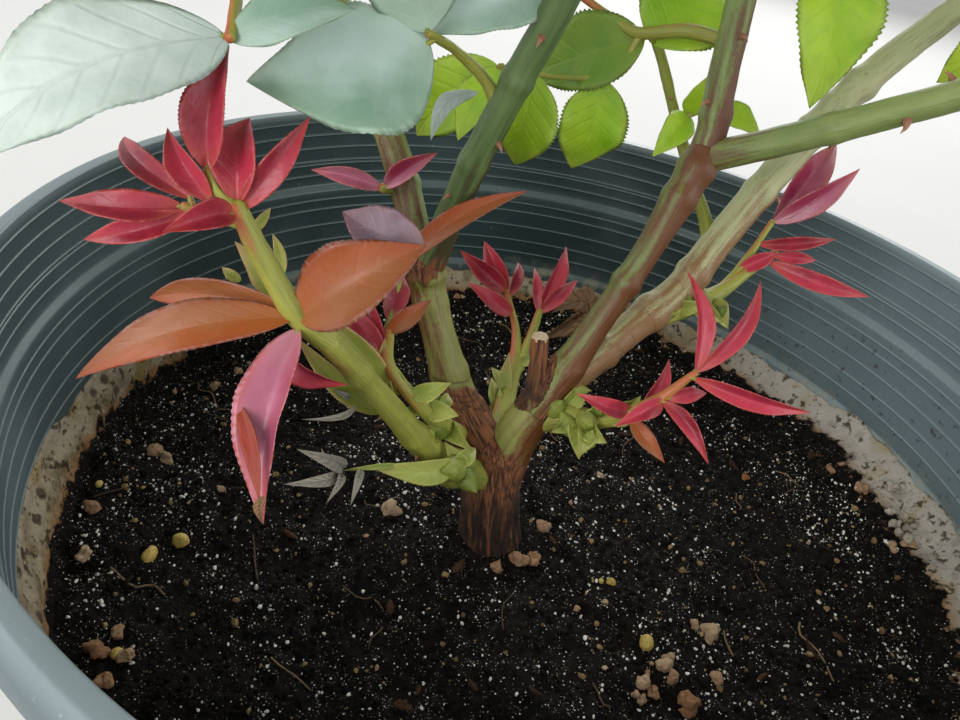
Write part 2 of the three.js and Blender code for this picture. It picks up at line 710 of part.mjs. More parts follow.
// A mass: one stem runs on from its limb's tip through the middle of its space, side twigs leave it,
// and compound leaves stand round stem and twigs at the golden angle. A leaf that would leave the space,
// or touch a limb or another leaf, is tried turned and then shorter, and then skipped.
const STEM_BEND = 0.3; // of its way, where the stem still runs on as its limb does
const STEM_PAST = 34; // the stem ends this far past the middle of its space
const STEM_RISE = 14;
const STEM_SIDES = 4;
const STEM_STEP = 26;
const STEM_LEAVES = 3;
const FIRST_LEAF = 0.3; // share of the stem below its first leaf
const LEAN_LOW = 1.35; // radians between the stem and its lowest leaf
const LEAN_HIGH = 0.35;
const TWIGS = 2;
const FIRST_TWIG = 0.36;
const TWIG_SPACING = 0.2;
const TWIG_REACH = 42;
const TWIG_LEAN = 0.25;
const FULL_TURN = 2 * Math.PI;
const TURNS = [0, 0.9, -0.9]; // tried in this order when a leaf has no room
const STALK_LENGTHS = [52, 42, 33];
const LEAST_LEAFLETS = 3;
const TREE_UP = at([0.31, 0.17, 1]); // never along a stem, so it gives each stem a side

// The direction square to a stem at a turn round it.
function outwardOf(axis, turn) {
  return axis.clone().cross(TREE_UP).normalize().applyAxisAngle(axis, turn);
}

function mass(name, index, keepClear) {
  const { from, centre } = masses[name];
  const draw = numbers(101 + 37 * index);
  const carrier = canes[from];
  const tip = at(carrier.points.at(-1));
  const onward = tip.clone().sub(at(carrier.points.at(-2))).normalize();
  const middle = at(centre);
  const heading = middle.clone().sub(tip);
  const root = tip.clone().addScaledVector(onward, -1);
  const bend = tip.clone().addScaledVector(onward, STEM_BEND * heading.length());
  const end = middle.clone().addScaledVector(heading.clone().normalize(), STEM_PAST);
  end.z += STEM_RISE;
  const stem = {
    points: [root, bend, middle, end].map((point) => point.toArray()),
    radii: [0.86 * carrier.radii.at(-1), 1.4, 0.8],
    sides: STEM_SIDES,
    step: STEM_STEP,
  };
  const stemCurve = new THREE.CatmullRomCurve3(stem.points.map(at), false, "centripetal");
  let wood = limb(stem).subtract(limb(carrier, GAP));
  let foliage = null;

  const clear = (solid) => keepClear.intersect(solid).isEmpty();
  const clearOfLeaves = (solid) => foliage === null || foliage.intersect(solid).isEmpty();

  function fits(length, foot, aim, face) {
    const leaf = compoundLeaf(foot, aim, face, length);
    const stalk = limb(leaf.stalk);
    if (!insideSpace(name, stalk) || !clear(stalk) || !clearOfLeaves(stalk)) return false;
    const kept = leaf.leaves.filter((one) => {
      if (!insideSpace(name, leaflet(one))) return false;
      const fat = leaflet(one, 2 * KEEP_OFF);
      return clear(fat) && clearOfLeaves(fat) && wood.intersect(fat).isEmpty();
    });
    if (kept.length < LEAST_LEAFLETS) return false;
    wood = wood.add(stalk);
    foliage = join([...(foliage ? [foliage] : []), ...kept.map((one) => leaflet(one))]);
    return true;
  }

  function addLeaf(curve, share, turn, lean) {
    const foot = curve.getPointAt(share);
    const axis = curve.getTangentAt(share);
    const stretch = 0.94 + 0.12 * draw();
    for (const length of STALK_LENGTHS) {
      for (const more of TURNS) {
        const outward = outwardOf(axis, turn + more);
        const aim = axis.clone().multiplyScalar(Math.cos(lean)).addScaledVector(outward, Math.sin(lean));
        const face = at([0, 0, 1]).addScaledVector(axis, 0.4).addScaledVector(outward, 0.25);
        if (fits(length * stretch, foot, aim, face)) return;
      }
    }
  }

  const twigs = [];
  for (let k = 0; k < TWIGS; k++) {
    const share = FIRST_TWIG + TWIG_SPACING * k;
    const foot = stemCurve.getPointAt(share);
    const axis = stemCurve.getTangentAt(share);
    const outward = outwardOf(axis, (k * FULL_TURN) / TWIGS + 2 * index);
    const reach = TWIG_REACH + 6 * draw();
    const elbow = foot.clone().addScaledVector(outward, 0.55 * reach).addScaledVector(axis, 0.2 * reach);
    const twigTip = foot.clone().addScaledVector(outward, 0.9 * reach).addScaledVector(axis, 0.55 * reach);
    const points = [foot, elbow, twigTip].map((point) => point.toArray());
    const twig = limb({ points, radii: [1.2, 0.8], sides: 3, step: 22 });
    if (!insideSpace(name, twig) || !clear(twig)) continue;
    wood = wood.add(twig);
    twigs.push(new THREE.CatmullRomCurve3(points.map(at), false, "centripetal"));
  }
  for (let i = 0; i < STEM_LEAVES; i++) {
    const share = mix(FIRST_LEAF, 1, i / (STEM_LEAVES - 1));
    const lean = mix(LEAN_LOW, LEAN_HIGH, share * share) + 0.2 * (draw() - 0.5);
    addLeaf(stemCurve, share, i * GOLDEN_ANGLE + index, lean);
  }
  twigs.forEach((curve, k) => addLeaf(curve, 1, k, TWIG_LEAN));
  return wood.add(foliage);
}

// Assembly
const rose = new THREE.Group();
rose.name = "potted_rose_bush";
rose.add(meshOf("pot", pot(), potPlastic));
rose.add(meshOf("soil", soil(), pottingSoil));
rose.add(meshOf("trunk", trunk(), bark));

const grown = {
  trunk: join([trunkFoot, leftFork, rightFork, snag].map((part) => limb(part, GAP))),
};
for (const [name, cane] of Object.entries(canes)) {
  let wood = limb(cane);
  for (const neighbour of cane.on) wood = wood.subtract(grown[neighbour]);
  grown[name] = limb(cane, GAP);
  rose.add(meshOf(name, wood, cane.look));
}

const allLimbs = join(Object.values(grown));
// Places on the straight lines between the middles of a stem's rings.
function centreLine(stem) {
  const { curve, rings } = bent(stem.points.map(at), stem.step);
  const middles = Array.from({ length: rings + 1 }, (_, ring) => curve.getPointAt(ring / rings));
  const samples = Array.from({ length: LINE_SAMPLES }, (_, i) => i / LINE_SAMPLES);
  return middles.slice(1).flatMap((next, ring) => samples.map((share) => middles[ring].clone().lerp(next, share)));
}

function nearestOn(line, place) {
  const target = at(place);
  const nearer = (best, point) => (point.distanceTo(target) < best.distanceTo(target) ? point : best);
  return line.reduce(nearer).toArray();
}

const placed = [];
for (const [name, spray] of Object.entries(sprays)) {
  const [first, ...others] = spray.stems;
  const firstLine = centreLine(first);
  const sideStems = others.map((stem) => ({
    ...stem,
    points: [nearestOn(firstLine, stem.points[0]), ...stem.points.slice(1)],
  }));
  const line = [first, ...sideStems].flatMap(centreLine);
  const leaves = spray.leaves.map((leaf) => leaflet({ ...leaf, base: nearestOn(line, leaf.base) }));
  const growth = join([...[first, ...sideStems].map((stem) => limb(stem)), ...leaves]);
  const trimmed = biggest(growth.subtract(allLimbs));
  placed.push(trimmed);
  rose.add(meshOf(name, trimmed, spray.look));
}

const keepClear = join([...Object.values(canes).map((cane) => limb(cane, KEEP_OFF)), ...placed]);
Object.keys(masses).forEach((name, index) => {
  rose.add(meshOf(name, mass(name, index, keepClear), greenLeaf));
});

export default rose;
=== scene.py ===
"""A rose bush in its nursery pot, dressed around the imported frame.

Shapes are worked out in millimetres, with +Z up and the origin under the middle of the pot,
and become metres when a mesh is made. Every piece rides on the one body of the part.
"""

import json

import bmesh
import bpy
import numpy as np
from mathutils import Matrix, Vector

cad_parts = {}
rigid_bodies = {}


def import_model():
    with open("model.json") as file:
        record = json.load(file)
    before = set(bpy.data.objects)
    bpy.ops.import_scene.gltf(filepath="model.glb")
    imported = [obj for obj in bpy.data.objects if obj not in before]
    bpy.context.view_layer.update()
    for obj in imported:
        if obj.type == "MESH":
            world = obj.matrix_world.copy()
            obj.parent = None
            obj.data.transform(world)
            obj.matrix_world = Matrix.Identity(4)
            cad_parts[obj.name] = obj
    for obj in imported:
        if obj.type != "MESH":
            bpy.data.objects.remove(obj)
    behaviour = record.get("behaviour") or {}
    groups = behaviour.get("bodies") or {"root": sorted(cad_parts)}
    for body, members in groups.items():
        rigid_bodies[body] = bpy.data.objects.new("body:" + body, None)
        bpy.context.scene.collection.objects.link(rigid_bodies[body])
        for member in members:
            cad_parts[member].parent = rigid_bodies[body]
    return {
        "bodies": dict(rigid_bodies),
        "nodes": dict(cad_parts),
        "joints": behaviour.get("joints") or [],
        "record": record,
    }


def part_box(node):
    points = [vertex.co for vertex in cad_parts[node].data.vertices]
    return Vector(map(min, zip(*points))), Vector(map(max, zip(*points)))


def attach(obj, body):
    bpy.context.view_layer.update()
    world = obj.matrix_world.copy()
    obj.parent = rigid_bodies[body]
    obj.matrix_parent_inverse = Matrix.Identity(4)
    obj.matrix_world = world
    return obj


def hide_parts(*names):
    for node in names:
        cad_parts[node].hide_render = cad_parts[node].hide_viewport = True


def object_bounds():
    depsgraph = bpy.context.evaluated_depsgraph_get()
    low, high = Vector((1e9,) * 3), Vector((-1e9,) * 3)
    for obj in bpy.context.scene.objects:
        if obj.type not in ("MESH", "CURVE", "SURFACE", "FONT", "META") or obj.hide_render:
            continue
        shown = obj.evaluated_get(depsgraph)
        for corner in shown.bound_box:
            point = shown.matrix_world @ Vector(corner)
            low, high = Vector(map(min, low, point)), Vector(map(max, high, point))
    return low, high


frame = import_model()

cad_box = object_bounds()
METRES = 0.001  # in a millimetre
UP = np.array([0.0, 0.0, 1.0])
DRAW_FACTOR, DRAW_STEP, DRAW_RANGE = 1664525, 1013904223, 2**32
HASH_FACTORS = (73856093, 19349663, 83492791)  # one for each number of a cell
SEED_FACTOR = 2654435761
MIXING = ((15, 2246822519), (13, 3266489917))  # shift, then factor
LOW_BITS = np.uint64(0xFFFFFFFF)
HALF_RANGE = 2147483647.5  # half of the largest number that the low bits hold


# Numbers and noise


def numbers(seed):
    """Repeatable numbers from low to high, one at each call, from a state that is multiplied by DRAW_FACTOR,
    moved on by DRAW_STEP and kept within DRAW_RANGE."""
    state = [seed]

    def draw(low=0.0, high=1.0):
        state[0] = (state[0] * DRAW_FACTOR + DRAW_STEP) % DRAW_RANGE
        return low + (high - low) * state[0] / DRAW_RANGE

    return draw


def lattice(cells, seed):
    """A repeatable number from -1 to 1 for each whole-number cell, by hashing its three numbers."""
    with np.errstate(over="ignore"):
        x, y, z = (cells[..., k].astype(np.uint64) * np.uint64(factor)
                   for k, factor in enumerate(HASH_FACTORS))
        mixed = (x ^ y ^ z ^ np.uint64(seed * SEED_FACTOR)) & LOW_BITS
        for shift, factor in MIXING:
            mixed = ((mixed ^ (mixed >> np.uint64(shift))) * np.uint64(factor)) & LOW_BITS
        mixed ^= mixed >> np.uint64(16)
    return mixed / HALF_RANGE - 1


def noise(points, size, seed=0):
    """Smooth noise from -1 to 1: the lattice's numbers at the corners of cells of that size, blended by
    smoothstep in each direction."""
    place = np.asarray(points, float) / size
    cell = np.floor(place)
    share = place - cell
    share = share * share * (3 - 2 * share)
    cell = cell.astype(np.int64)
    total = np.zeros(place.shape[:-1])
    for corner in np.ndindex(2, 2, 2):
        weight = np.prod(np.where(corner, share, 1 - share), axis=-1)
        total += weight * lattice(cell + np.array(corner), seed)
    return total


def layered(points, layers, start=0):
    """start plus noises of the points, each of which is given by its height, its size and its seed."""
    return sum((height * noise(points, size, seed) for height, size, seed in layers), start)


def smoothstep(low, high, value):
    """0 below low, 1 above high, and a smooth cubic between them."""
    share = np.clip((value - low) / (high - low), 0, 1)
    return share * share * (3 - 2 * share)


def unit(vectors):
    """Each vector divided by its length."""
    vectors = np.asarray(vectors, float)
    return vectors / np.linalg.norm(vectors, axis=-1, keepdims=True)


# Shapes


class Shape:
    """Points in millimetres, quads over them, and named fields with one value or vector for each point."""

    def __init__(self, points, faces, **fields):
        self.points = np.asarray(points, float).reshape(-1, 3)
        self.faces = np.asarray(faces, np.int64)
        count = len(self.points)
        self.fields = {name: fill(value, count) for name, value in fields.items()}

    @staticmethod
    def joined(shapes):
        """All shapes as one, with the fields that the first one has."""
        starts = np.cumsum([0] + [len(shape.points) for shape in shapes[:-1]])
        faces = np.concatenate([shape.faces + start for shape, start in zip(shapes, starts)])
        together = Shape(np.concatenate([shape.points for shape in shapes]), faces)
        for name in shapes[0].fields:
            together.fields[name] = np.concatenate([shape.fields[name] for shape in shapes])
        return together


def fill(value, count):
    """A field's values for every point, from one value or from an array."""
    value = np.asarray(value, float)
    if value.ndim == 0:
        return np.full(count, float(value))
    return value.reshape(count, -1) if value.size != count else value.reshape(count)


def grid_faces(rows, columns, wrap):
    """Quads over points laid out row by row. wrap closes each row on itself."""
    row = np.arange(rows - 1)[:, None] * columns
    column = np.arange(columns if wrap else columns - 1)[None, :]
    after = (column + 1) % columns
    corners = [row + column, row + after, row + after + columns, row + column + columns]
    return np.stack(np.broadcast_arrays(*corners), axis=-1).reshape(-1, 4)


PATH_STEPS = 40  # finely spaced places on each stretch of a path


def smooth_path(points, count):
    """Places evenly spaced along a smooth curve through points, and its length.

    Each stretch is a cubic whose end slopes weigh the neighbouring chords by the square roots of their
    lengths."""
    points = np.asarray(points, float)
    ends = np.vstack([2 * points[0] - points[1], points, 2 * points[-1] - points[-2]])
    spans = np.sqrt(np.linalg.norm(np.diff(ends, axis=0), axis=1))[:, None]
    before, here, after, beyond = ends[:-3], ends[1:-2], ends[2:-1], ends[3:]
    first, middle, last = spans[:-2], spans[1:-1], spans[2:]
    slope_in = (here - before) / first - (after - before) / (first + middle) + (after - here) / middle
    slope_out = (after - here) / middle - (beyond - here) / (middle + last) + (beyond - after) / last
    slope_in, slope_out = slope_in * middle, slope_out * middle
    t = np.linspace(0, 1, PATH_STEPS)[None, :, None]
    here, after, slope_in, slope_out = (a[:, None] for a in (here, after, slope_in, slope_out))
    square = -3 * here + 3 * after - 2 * slope_in - slope_out
    cube = 2 * here - 2 * after + slope_in + slope_out
    dense = (here + slope_in * t + square * t**2 + cube * t**3).reshape(-1, 3)
    reached = np.concatenate([[0], np.cumsum(np.linalg.norm(np.diff(dense, axis=0), axis=1))])
    wanted = np.linspace(0, reached[-1], count)
    return np.stack([np.interp(wanted, reached, dense[:, k]) for k in range(3)], axis=1), reached[-1]


def cross_axes(tangent):
    """Two directions square to each tangent, taken from the axis that the whole path leans least towards."""
    lean = np.abs(tangent.mean(0))
    reference = np.eye(3)[np.argmin(lean)]
    side = unit(reference - (tangent @ reference)[:, None] * tangent)
    return side, np.cross(tangent, side)


CAP_PLACES, CAP_RADII = np.array([[0.6], [0.4]]), np.array([0.0, 0.75])  # in radii, from the pole inwards


def limb(points, radii, sides=12, step=2.0, swells=(), relief=None, **fields):
    """A round profile carried along the smooth curve through points, with rounded ends.

    The radius goes through radii, evenly spaced from foot to tip, plus a bell of (height, width) at each
    swelling's distance from the foot, plus relief(points, along). flow is the point on the unrolled skin, and
    each of fields is spread evenly from foot to tip."""
    _, length = smooth_path(points, 8)
    rings = max(4, int(length / step) + 1)
    centre, length = smooth_path(points, rings)
    tangent = unit(np.gradient(centre, axis=0))
    side, other = cross_axes(tangent)
    share = np.linspace(0, 1, rings)
    radius = np.interp(share, np.linspace(0, 1, len(radii)), radii)
    along = share * length
    for station, height, width in swells:
        radius = radius + height * np.exp(-(((along - station) / width) ** 2))
    centre = np.vstack([centre[0] - tangent[0] * radius[0] * CAP_PLACES, centre,
                        centre[-1] + tangent[-1] * radius[-1] * CAP_PLACES[::-1]])
    radius = np.concatenate([radius[0] * CAP_RADII, radius, radius[-1] * CAP_RADII[::-1]])
    side, other, along = (np.concatenate([a[[0, 0]], a, a[[-1, -1]]]) for a in (side, other, along))
    angle = np.linspace(0, 2 * np.pi, sides, endpoint=False)[None, :, None]
    outward = np.cos(angle) * side[:, None] + np.sin(angle) * other[:, None]
    points = centre[:, None] + outward * radius[:, None, None]
    if relief is not None:
        points = points + outward * (relief(points, along[:, None]) * (radius > 0)[:, None])[..., None]
    flow = np.stack([np.cos(angle[..., 0]) * radius[:, None], np.sin(angle[..., 0]) * radius[:, None],
                     np.broadcast_to(along[:, None], (len(radius), sides))], axis=-1)
    shape = Shape(points, grid_faces(len(radius), sides, wrap=True), flow=flow.reshape(-1, 3))
    for name, value in fields.items():
        spread = np.interp(along, np.linspace(0, length, np.size(value)), np.atleast_1d(value).astype(float))
        shape.fields[name] = np.repeat(spread, sides)
    return shape


def turned(profile, sides):
    """A closed profile of (radius, height) turned round the Z axis, outer side first from the bottom up."""
    profile = np.asarray(profile, float)
    angle = np.linspace(0, 2 * np.pi, sides, endpoint=False)[None, :]
    radius, height = profile[:, :1], profile[:, 1:]
    grid = np.stack([radius * np.cos(angle), radius * np.sin(angle), height + 0 * angle], axis=-1)
    return Shape(grid, grid_faces(len(profile), sides, wrap=True))


OUTLINE_PEAK, OUTLINE_FULLNESS = 0.8, 0.8
BLADE_END = 0.35  # how far the outline is drawn in at the tip
TOOTH_LEAN = 0.9  # of a row's length, towards the tip
BENDS = ("fold", "bow", "curl", "twist", "sickle")


def blades(leaves, rows, columns, teeth=0.0, thickness=0.3):
    """Closed leaf blades, one for each entry of leaves, which holds arrays base, tip, up, width and tint,
    and the bends fold, bow, curl, twist and sickle.

    With u from base to tip and v across, half the width is sin(pi u^0.8)^0.8, drawn in by u^6 near the tip,
    and every second row of the edge stands out as a tooth. The halves rise by v^1.3 times the half width
    times the fold's tangent, with ripples of two sines. The midrib bows by 4u(1-u), curls over by u cubed
    and bends aside by sin(pi u) times sickle, the cross-section turns by twist times u, and the faces part
    by a lens of the blade's thickness."""
    base, tip, up = (np.asarray(leaves[name], float) for name in ("base", "tip", "up"))
    width, *bends = (np.asarray(leaves[name], float)[:, None, None] for name in ("width", *BENDS))
    fold, bow, curl, twist, sickle = bends
    reach = tip - base
    length = np.linalg.norm(reach, axis=1)[:, None, None]
    forward = unit(reach)
    side = unit(np.cross(forward, up))
    normal = np.cross(side, forward)
    u = np.linspace(0, 1, rows)[None, :, None]
    v = np.linspace(-1, 1, columns)[None, None, :]
    arch = np.sin(np.pi * u)
    outline = np.sin(np.pi * u**OUTLINE_PEAK) ** OUTLINE_FULLNESS * (1 - BLADE_END * u**6)
    tooth = np.where(np.arange(rows) % 2 == 0, 1.0, -1.0)[None, :, None] * np.abs(v) ** 6
    half = width / 2 * outline * (1 + teeth * tooth * arch)
    ahead = u + teeth * TOOTH_LEAN * tooth / rows * arch
    waves = 0.05 * np.sin(9 * u + 3 * np.sign(v)) + 0.02 * np.sin(23 * u + 5 * v)
    flat = v * half
    height = np.abs(v) ** 1.3 * half * np.tan(fold) + width * arch * v**2 * waves
    shapes = []
    for sign in (1, -1):
        level = height + sign * thickness / 2 * np.sqrt(np.clip(1 - v**2, 0, 1)) * arch
        turn = twist * u
        across = flat * np.cos(turn) - level * np.sin(turn) + sickle * length * arch
        rise = flat * np.sin(turn) + level * np.cos(turn) + length * (bow * 4 * u * (1 - u) - curl * u**3)
        points = (base[:, None, None] + forward[:, None, None] * (ahead * length)[..., None]
                  + side[:, None, None] * across[..., None] + normal[:, None, None] * rise[..., None])
        faces = grid_faces(rows, columns, wrap=False)
        faces = faces if sign > 0 else faces[:, ::-1]
        faces = (faces[None] + (np.arange(len(base)) * rows * columns)[:, None, None]).reshape(-1, 4)
        face = np.array(sign * 0.5 + 0.5)
        blade = np.stack(np.broadcast_arrays(u + 0 * base[:, :1, None], v + 0 * u, face), axis=-1)
        tint = np.broadcast_to(np.asarray(leaves["tint"])[:, None, None], blade.shape[:3])
        shapes.append(Shape(points, faces, blade=blade.reshape(-1, 3), tint=tint.reshape(-1)))
    return Shape.joined(shapes)


def stones(places, sizes, seed, rounds, rough):
    """A lump at each place: a 20-sided ball, split rounds times, with its corners moved in and out by noise
    of two sizes times rough, and drawn out along the axes by sines of its own number."""
    made = bmesh.new()
    bmesh.ops.create_icosphere(made, subdivisions=1 + rounds, radius=1.0)
    corner = np.array([vertex.co for vertex in made.verts])
    faces = np.array([[vertex.index for vertex in face.verts] for face in made.faces])
    made.free()
    places, sizes = np.asarray(places, float), np.asarray(sizes, float)
    turn = np.arange(len(places))[:, None] * np.array([[2.4, 1.1, 0.7]])
    place = corner[None] * 1.3 + turn[:, None] * 7.1
    swell = 1 + rough * (noise(place, 1.0, seed) + 0.4 * noise(place, 0.4, seed + 2))
    squash = 1 + 0.25 * np.sin(turn * 3.7)
    points = places[:, None] + corner[None] * swell[..., None] * squash[:, None] * sizes[:, None, None]
    faces = (faces[None] + (np.arange(len(places)) * len(corner))[:, None, None]).reshape(-1, 3)
    tint = np.repeat(noise(turn * 5.3, 1.0, seed + 1) * 0.5 + 0.5, len(corner))
    return Shape(points, faces, tint=tint)


def store(mesh, fields):
    """Writes each field as an attribute of the mesh's points, a vector or a number for each."""
    for name, values in fields.items():
        kind, key = ("FLOAT_VECTOR", "vector") if values.ndim == 2 else ("FLOAT", "value")
        attribute = mesh.attributes.new(name, kind, "POINT")
        attribute.data.foreach_set(key, values.astype(np.float32).ravel())


def piece(name, shape, material, replaces=(), smooth=True, weld=0.004):
    """A mesh object made from a shape, with points nearer than weld millimetres made one."""
    mesh = bpy.data.meshes.new(name)
    mesh.from_pydata(shape.points * METRES, [], shape.faces.tolist())
    store(mesh, shape.fields)
    if weld:
        work = bmesh.new()
        work.from_mesh(mesh)
        bmesh.ops.remove_doubles(work, verts=work.verts, dist=weld * METRES)
        work.to_mesh(mesh)
        work.free()
    return dressed(name, mesh, material, replaces, smooth)


def dressed(name, mesh, material, replaces=(), smooth=True):
    """An object for a finished mesh, riding on the part's one body, with its material and the nodes
    that it stands for."""
    mesh.polygons.foreach_set("use_smooth", np.full(len(mesh.polygons), smooth))
    mesh.materials.clear()
    mesh.materials.append(material)
    thing = bpy.data.objects.new(name, mesh)
    bpy.context.scene.collection.objects.link(thing)
    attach(thing, "root")
    if replaces:
        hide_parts(*replaces)
    return thing


# Materials


def rgb(code):
    """A linear colour from a six-digit code."""
    parts = np.array([int(code[k : k + 2], 16) for k in (0, 2, 4)]) / 255
    linear = np.where(parts <= 0.04045, parts / 12.92, ((parts + 0.055) / 1.055) ** 2.4)
    return (*linear, 1.0)


class Value:
    """A number, colour or vector that changes over a surface. Sums and products of it add Math nodes."""

    def __init__(self, finish, socket):
        self.finish = finish
        self.socket = socket

    def math(self, operation, *others):
        return self.finish.node("ShaderNodeMath", {"operation": operation}, dict(enumerate((self, *others))))

    def __add__(self, other):
        return self.math("ADD", other)

    def __sub__(self, other):
        return self.math("SUBTRACT", other)

    def __rsub__(self, other):
        return self.finish.node("ShaderNodeMath", {"operation": "SUBTRACT"}, {0: other, 1: self})

    def __mul__(self, other):
        return self.math("MULTIPLY", other)

    __radd__ = __add__
    __rmul__ = __mul__

    def clamped(self):
        return self.math("MAXIMUM", 0.0).math("MINIMUM", 1.0)

    def ramp(self, low, high):
        """0 where the value is low, 1 where it is high, and a smooth step between."""
        inputs = {"Value": self, 1: low, 2: high, 3: 0.0, 4: 1.0}
        return self.finish.node("ShaderNodeMapRange", {"interpolation_type": "SMOOTHSTEP"}, inputs)


class Finish:
    """One material: a Principled shader with even values set directly, and the nodes that vary it."""

    def __init__(self, name, roughness=0.5, **even):
        self.material = bpy.data.materials.new(name)
        self.material.use_nodes = True
        self.tree = self.material.node_tree
        self.shader = self.tree.nodes["Principled BSDF"]
        self.shader.inputs["Roughness"].default_value = roughness
        for socket, value in even.items():
            self.shader.inputs[socket.replace("_", " ")].default_value = value
        self.place = self.node("ShaderNodeTexCoord", output="Object")

    def node(self, kind, settings=None, inputs=None, output=0):
        """A node of that type: its settings first, then the values or links of its sockets."""
        made = self.tree.nodes.new(kind)
        for name, value in (settings or {}).items():
            setattr(made, name, value)
        for key, value in (inputs or {}).items():
            if isinstance(value, Value):
                self.tree.links.new(made.inputs[key], value.socket)
            else:
                made.inputs[key].default_value = value
        return Value(self, made.outputs[output])

    def field(self, name, output="Fac"):
        return self.node("ShaderNodeAttribute", {"attribute_name": name}, output=output)

    def parts(self, vector):
        """The three numbers of a vector."""
        made = self.node("ShaderNodeSeparateXYZ", inputs={0: vector})
        return [Value(self, socket) for socket in made.socket.node.outputs]

    def stretched(self, vector, scale):
        return self.node("ShaderNodeVectorMath", {"operation": "MULTIPLY"}, {0: vector, 1: scale})

    def cloud(self, scale, detail=3.0, vector=None):
        """Noise from 0 to 1. scale counts its lumps in each unit of the vector, which is metres in place."""
        return self.node("ShaderNodeTexNoise", inputs={
            "Vector": vector or self.place, "Scale": scale, "Detail": detail, "Roughness": 0.5})

    def cells(self, scale):
        """How far each place is from the nearest of scattered points, in cells, with scale of them in a
        metre."""
        inputs = {"Vector": self.place, "Scale": scale}
        return self.node("ShaderNodeTexVoronoi", inputs=inputs, output="Distance")

    def blend(self, share, low, high):
        """A colour that goes from low to high as share goes from 0 to 1. Each may be a six-digit code."""
        low, high = (rgb(color) if isinstance(color, str) else color for color in (low, high))
        inputs = {0: share, 6: low, 7: high}
        return self.node("ShaderNodeMix", {"data_type": "RGBA"}, inputs, output=2)

    def paint(self, color, roughness=None, bump=None, depth=0.2):
        """Links the colour, roughness and a bump whose height of 1 stands depth millimetres proud."""
        self.link("Base Color", color)
        if roughness is not None:
            self.link("Roughness", roughness)
        if bump is not None:
            inputs = {"Height": bump, "Distance": depth * METRES, "Strength": 1.0}
            self.link("Normal", self.node("ShaderNodeBump", inputs=inputs))
        return self.material

    def link(self, socket, value):
        if isinstance(value, Value):
            self.tree.links.new(self.shader.inputs[socket], value.socket)
        else:
            self.shader.inputs[socket].default_value = value


WALL_LEAN = 0.146  # how far the pot's wall leans out for each unit of height
WALL_MIDDLE = (0.1107, 0.1122)  # without that lean, the radius between its inner and outer side, in metres


def pot_finish():
    """Moulded green-black plastic with a half gloss: dust, specks, splashed dirt, a stain at the old soil
    line, painted highlights on the ribs, ledges and rim, and a painted reflection as a pale haze on the open
    side."""
    finish = Finish("pot_plastic", Specular_IOR_Level=0.5)
    x, y, z = finish.parts(finish.place)
    dust = finish.cloud(22, 5).ramp(0.42, 0.75)
    speck = finish.cloud(900, 2).ramp(0.68, 0.78)
    high = z.ramp(0.17, 0.25)
    color = finish.blend(finish.cloud(9, 3).ramp(0.3, 0.7), "1d2a2a", "2a3a3c")
    upright = (x * x + y * y).math("SQRT") - z * WALL_LEAN
    outer = upright.ramp(*WALL_MIDDLE)
    color = finish.blend(dust * (0.2 - 0.1 * outer) + high * 0.1, color, "5c6c6d")
    # Painted reflection: a pale haze towards the near and the right side, weaker on the outer wall below the
    # lip, with a little more roughness.
    painted_reflection = (1 - y.ramp(-0.06, 0.13)) * 0.4 + x.ramp(0.05, 0.135) * 0.65
    painted_reflection = painted_reflection * (1 - 0.6 * outer * (1 - z.ramp(0.22, 0.242)))
    color = finish.blend(painted_reflection * (0.85 + 0.15 * dust), color, "74848a")
    # Painted highlight along the top of the rim.
    color = finish.blend(z.ramp(0.2465, 0.2498) * 0.3, color, "a3b0b3")
    # Painted highlight on the crests of the ribs and, half as strong, on the ledges.
    color = finish.blend(finish.field("rib") * (0.45 + 0.5 * finish.cloud(120, 3)), color, "7c8e8e")
    stain = (1 - (z - 0.186).math("ABSOLUTE").ramp(0.002, 0.007)) * finish.cloud(200, 5).ramp(0.5, 0.66)
    stain = stain * (1 - outer)
    color = finish.blend(stain * 0.5, color, "8f8468")
    color = finish.blend(speck * 0.35, color, "a9aea6")
    dirt = finish.cloud(380, 4).ramp(0.63, 0.68) * (1 - z.ramp(0.2, 0.232)) * (1 - outer)
    color = finish.blend(dirt * (0.25 + 0.6 * x.ramp(0.05, 0.11)), color, "2e2a26")
    roughness = 0.34 + dust * 0.22 + stain * 0.3
    grain = finish.cloud(1500, 2) * 0.3 + finish.cloud(160, 3) * 0.7
    return finish.paint(color, roughness + painted_reflection * 0.15, grain, depth=0.12)


